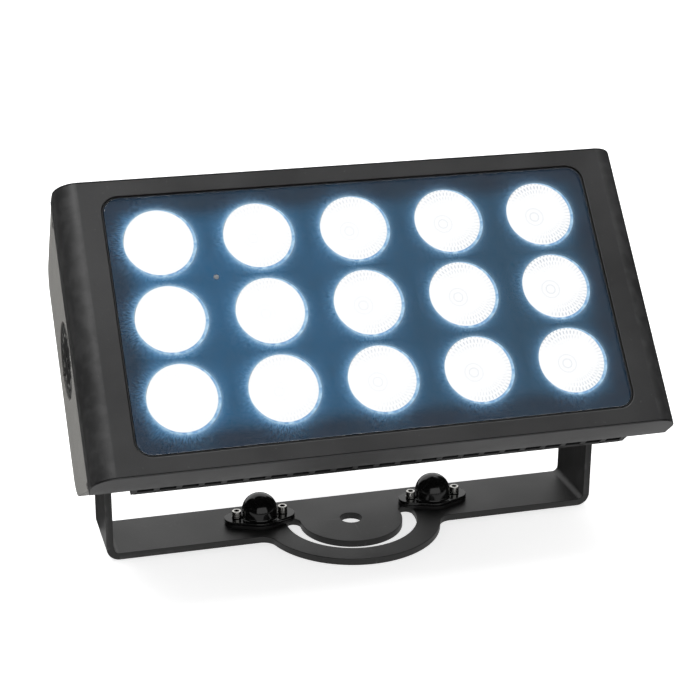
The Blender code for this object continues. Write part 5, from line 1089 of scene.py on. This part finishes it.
def lens_finish():
    """Lit lens: white light, with grey dashes near two opposite parts of the rim, short flutes at one side,
    the faint arcs of the cone inside, and a pale blue crescent where the light misses the rim. The pattern
    attribute says how much of the grey shows."""
    finish, made, shader = new_finish("lit lens", Roughness=0.25, Base_Color=(0.06, 0.07, 0.08, 1),
                                      Specular_IOR_Level=0.3)
    place = made.attribute("place", "Vector")
    x, z, depth = made.split(place)

    def from_centre(centre_x, centre_z):
        return ((x - centre_x) ** 2.0 + (z - centre_z) ** 2.0).math("SQRT")

    def towards(share_x, share_z):
        return x * (share_x / LENS_RADIUS) + z * (share_z / LENS_RADIUS)

    radius = from_centre(0.0, 0.0)
    sectors = (z.math("ARCTAN2", x) * 52.0).math("COSINE")
    rows = (radius * (math.tau / 5.6)).math("COSINE")
    above, below = towards(-0.2, 0.98).span(0.45, 0.95), towards(0.5, -0.87).span(0.3, 0.95)
    dashes = (sectors * rows).span(0.0, 0.7) * (above + below)
    side = (x / radius.math("MAXIMUM", 0.001)).span(0.5, 0.85, 0.0, 0.5)
    flutes = sectors.span(0.2, 0.9) * (side * radius.span(13.5, 16.5))
    from_cone = from_centre(-3.6, -1.2)
    arcs = (from_cone * (math.tau / 2.6)).math("COSINE").span(0.45, 1.0, 0.0, 0.45)
    ring = arcs * (from_cone.span(1.3, 2.2) * from_cone.span(7.2, 4.0, 0.0, 1.0))
    shade = dashes.math("MAXIMUM", flutes).math("MAXIMUM", ring) * made.attribute("pattern", "Fac")
    lit = made.blend(shade, (1.25, 1.25, 1.25, 1), (0.38, 0.46, 0.58, 1))
    streak = made.noise(place, 0.35, 2.0).span(0.3, 0.7)
    crescent = made.blend(streak, (0.18, 0.42, 0.75, 1), (0.5, 0.77, 1.0, 1))
    edged = made.blend(from_centre(-0.95, 0.36).span(18.75, 19.05), lit, crescent)
    strength = depth.span(LENS_FACE + 0.6, LENS_FACE + 1.2, 1.0, 0.12)
    made.feed(shader, {"Emission Color": edged, "Emission Strength": strength})
    return finish


def glass_finish():
    """Clear glass with barely uneven gloss."""
    finish, made, shader = new_finish("clear glass", Transmission_Weight=1.0, IOR=1.45,
                                      Specular_IOR_Level=0.15)
    smear = made.noise(object_place(made), 22.0, 3.0, 0.6).span(0.35, 0.8, 0.0, 0.003)
    made.feed(shader, {"Roughness": smear})
    return finish


def darken_sockets(finish):
    """Blends a finish's colour to near black where the pattern attribute is one: painted shade inside the
    screws' sockets.
    """
    made = Nodes(finish.node_tree)
    shader = made.tree.nodes["Principled BSDF"].inputs
    plain = Value(made, shader["Base Color"].links[0].from_socket)
    with_painted_shade = made.blend(made.attribute("pattern", "Fac"), plain, (0.03, 0.03, 0.03, 1))
    made.feed(shader, {"Base Color": with_painted_shade})


# Coats: name, bump and its height in millimetres, colour, roughness and grain. Some have a worn tone, or a
# worn tone and specks, of their own
COATS = {
    "yoke": ("yoke satin black", 0.25, 0.2, (0.021, 0.021, 0.0205), 0.42, 1400.0),
    "bezel": ("frame satin black", 0.25, 0.2, (0.014, 0.014, 0.0145), 0.4, 1500.0),
    "cheek": ("cheek black", 0.35, 0.3, (0.05, 0.049, 0.046), 0.5, 1100.0),
    "cast": ("cast housing black", 0.4, 0.3, (0.03, 0.03, 0.03), 0.5, 900.0),
    "anodised": ("anodised fins", 0.15, 0.2, (0.007, 0.007, 0.0075), 0.45, 1800.0, (0.05, 0.05, 0.05), 0.1),
    "gloss": ("gloss black", 0.02, 0.1, (0.006, 0.006, 0.006), 0.1, 700.0, (0.03, 0.03, 0.03), 0.2),
    "rubber": ("black rubber", 0.3, 0.3, (0.011, 0.011, 0.011), 0.65, 700.0, (0.03, 0.03, 0.03)),
    "button": ("grey keys", 0.2, 0.2, (0.12, 0.12, 0.12), 0.55, 900.0, (0.2, 0.2, 0.2)),
    "socket": ("socket plastic", 0.2, 0.2, (0.015, 0.015, 0.016), 0.35, 1600.0),
    "vent": ("vent plastic", 0.2, 0.2, (0.1, 0.1, 0.1), 0.5, 1200.0),
    "sensor": ("grey sensor", 0.05, 0.1, (0.4, 0.42, 0.44), 0.35, 1500.0, (0.45, 0.47, 0.5)),
    "print": ("grey print", 0.05, 0.1, (0.42, 0.42, 0.4), 0.5, 1500.0, (0.5, 0.5, 0.48)),
    "board": ("white board", 0.1, 0.1, (0.75, 0.75, 0.72), 0.45, 900.0, (0.7, 0.7, 0.68)),
    "green": ("green board", 0.1, 0.1, (0.03, 0.18, 0.07), 0.4, 900.0, (0.05, 0.2, 0.1)),
    "display": ("display pane", 0.0, 0.1, (0.008, 0.01, 0.013), 0.06, 1300.0, (0.02, 0.02, 0.03), 0.0),
}
WORN, SPECKS = (0.09, 0.09, 0.09), 0.3

# Metals: name, bump, colour, roughness and metallic share
METALS = {
    "steel": ("stainless steel", 0.1, (0.62, 0.61, 0.58), 0.22, 1.0),
    "dark_steel": ("blackened steel", 0.15, (0.03, 0.03, 0.031), 0.35, 0.6),
    "cam": ("blackened plate", 0.15, (0.02, 0.02, 0.02), 0.4, 0.4),
    "pin": ("turned pin steel", 0.1, (0.5, 0.5, 0.48), 0.3, 1.0),
    "contact": ("contact metal", 0.1, (0.75, 0.66, 0.42), 0.25, 1.0),
    "case": ("supply case", 0.1, (0.45, 0.46, 0.47), 0.35, 0.8),
}
METAL_BUMP_HEIGHT = 0.1

# Plain values of single finishes, beyond those of their group
EXTRAS = {
    "bezel": {"Specular_IOR_Level": 0.6},
    "anodised": {"Specular_IOR_Level": 0.15},
    "cheek": {"Sheen_Weight": 0.35, "Sheen_Roughness": 0.5, "Sheen_Tint": (0.9, 0.88, 0.83, 1)},
}


def make_finishes():
    """All finishes by name."""
    coat, metal = coat_group(), metal_group()
    finishes = {"panel": panel_finish(), "lens": lens_finish(), "glass": glass_finish()}
    for key, (name, bump, height, colour, roughness, grain, *own) in COATS.items():
        worn, specks = (*own, *(WORN, SPECKS)[len(own):])
        values = {"Colour": (*colour, 1), "Roughness": roughness, "Grain": grain, "Worn": (*worn, 1),
                  "Specks": specks}
        finishes[key] = grouped(name, coat, bump, height, values, EXTRAS.get(key, {}))
    for key, (name, bump, colour, roughness, metallic) in METALS.items():
        values = {"Colour": (*colour, 1), "Roughness": roughness}
        finishes[key] = grouped(name, metal, bump, METAL_BUMP_HEIGHT, values, {"Metallic": metallic})
    # Painted shade inside the sockets of the bracket's bright screws
    darken_sockets(finishes["steel"])
    return finishes


def dress_inner_nodes():
    """Inner CAD pieces keep their shape and get a finish."""
    wanted = {
        "pin": ("pivot_pin_left", "pivot_pin_right"), "board": ("led_board",), "case": ("power_supply",),
        "rubber": ("friction_ring_left", "friction_ring_right", "cover_gasket"),
        "green": ("control_board", "driver_board"),
    }
    for finish, nodes in wanted.items():
        for node in nodes:
            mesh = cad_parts[node].data
            mesh.materials.clear()
            mesh.materials.append(FINISHES[finish])


# Studio, in metres

# Painted reflections: cards seen only by mirror rays, dark for the room at the sides, grey above, and on the
# floor a darker reflection in front and behind with a brighter one just under the head
CARDS = (
    # name, lowest and highest corner, shade
    ("left card", (-1.0, -1.6, 0.0), (-1.0, 1.4, 2.0), 0.01),
    ("right card", (1.2, -1.6, 0.0), (1.2, 1.4, 1.4), 0.01),
    ("front floor card", (-1.0, -1.4, 0.0), (1.2, -0.1, 0.0), 0.1),
    ("near floor card", (-1.0, -0.1, 0.0), (1.2, 0.02, 0.0), 0.6),
    ("rear floor card", (-1.0, 0.02, 0.0), (1.2, 1.3, 0.0), 0.03),
    ("top card", (-0.3, -1.3, 1.5), (1.2, 0.0, 1.5), 0.17),
)
FLOOR_REACH, FLOOR_LEVEL = 6.0, -0.0005


def add_camera():
    """Camera fitted to the photograph: its yaw, pitch and roll give the three columns of its turn."""
    yaw, pitch, roll = math.radians(15.86), math.radians(-21.17), math.radians(0.55)
    forward = Vector((math.sin(yaw) * math.cos(pitch), math.cos(yaw) * math.cos(pitch), math.sin(pitch)))
    right = forward.cross(Vector((0, 0, 1))).normalized()
    up = right.cross(forward)
    right, up = right * math.cos(roll) + up * math.sin(roll), up * math.cos(roll) - right * math.sin(roll)
    turn = Matrix((right, up, -forward)).transposed().to_4x4()
    lens = bpy.data.cameras.new("camera")
    lens.sensor_width, lens.lens, lens.clip_end = 36.0, 95.18, 50.0
    camera = bpy.data.objects.new("camera", lens)
    camera.matrix_world = Matrix.Translation((-0.2692, -0.9518, 0.4889)) @ turn
    bpy.context.scene.collection.objects.link(camera)
    bpy.context.scene.camera = camera


def see_through(made):
    """One for rays from the camera, from a mirror or through glass, and otherwise zero."""
    rays = [made.value("LightPath", f"Is {kind} Ray") for kind in ("Camera", "Glossy", "Transmission")]
    return rays[0].math("MAXIMUM", rays[1]).math("MAXIMUM", rays[2])


def add_softbox(name, place, target, size, power):
    """Rectangular area light that faces a point."""
    light = bpy.data.lights.new(name, "AREA")
    light.shape, light.size, light.size_y, light.energy = "RECTANGLE", size[0], size[1], power
    box = bpy.data.objects.new(name, light)
    box.location = place
    box.rotation_euler = (Vector(target) - Vector(place)).to_track_quat("-Z", "Y").to_euler()
    bpy.context.scene.collection.objects.link(box)


def add_sheet(name, low, high, finish):
    """Flat sheet of the studio between two corners that share one coordinate."""
    first, second = [axis for axis in range(3) if low[axis] != high[axis]]
    corners = [list(low), list(low), list(high), list(low)]
    corners[1][first] = high[first]
    corners[3][second] = high[second]
    mesh = bpy.data.meshes.new(name)
    mesh.from_pydata(corners, [], [(0, 1, 2, 3)])
    mesh.materials.append(finish)
    sheet = bpy.data.objects.new(name, mesh)
    bpy.context.scene.collection.objects.link(sheet)
    return sheet


def add_card(name, low, high, shade):
    """Card of one plain shade that only mirror rays see: a painted reflection."""
    finish = new_finish(name, Base_Color=(0, 0, 0, 1), Roughness=1.0, Specular_IOR_Level=0.0,
                        Emission_Color=(shade, shade, shade, 1), Emission_Strength=1.0)[0]
    card = add_sheet(name, low, high, finish)
    card.visible_camera = card.visible_diffuse = card.visible_shadow = card.visible_transmission = False


def add_studio():
    """White background, pale floor that keeps a shadow, two softboxes, and cards for the reflections."""
    scene = bpy.context.scene
    scene.view_settings.view_transform = "Standard"
    world = bpy.data.worlds.new("studio")
    world.use_nodes = True
    scene.world = world
    made = Nodes(world.node_tree)
    made.tree.nodes.clear()
    lit, seen = (made.value("Background", 0, {"Color": (1, 1, 1, 1), "Strength": level})
                 for level in (0.5, 1.0))
    mixed = made.value("MixShader", 0, {0: see_through(made), 1: lit, 2: seen})
    made.add("OutputWorld", {"Surface": mixed})

    finish, made, shader = new_finish("pale floor", Base_Color=(0.86, 0.86, 0.86, 1), Roughness=0.9,
                                      Specular_IOR_Level=0.0, Emission_Color=(1, 1, 1, 1))
    made.feed(shader, {"Emission Strength": see_through(made) * 0.72})
    reach = FLOOR_REACH
    add_sheet("floor", (-reach, -reach, FLOOR_LEVEL), (reach, reach, FLOOR_LEVEL), finish)

    add_softbox("key light", (-0.7, 0.1, 2.1), (0, 0, 0.12), (1.6, 1.4), 26.0)
    add_softbox("top light", (0.5, 0.3, 2.1), (0, 0, 0.1), (1.6, 1.6), 16.0)
    for card in CARDS:
        add_card(*card)


add_camera()
FINISHES = make_finishes()
add_yoke()
for side, way in SIDES:
    add_quick_lock(side, way)
for side, way in SIDES:
    add_scale_cap(side, way)
    add_scale(side, way)
add_front()
add_heat_sink()
add_cheeks()
add_housing()
add_keys()
for socket in SOCKETS:
    add_socket(*socket)
add_eye()
add_vent()
dress_inner_nodes()
add_studio()
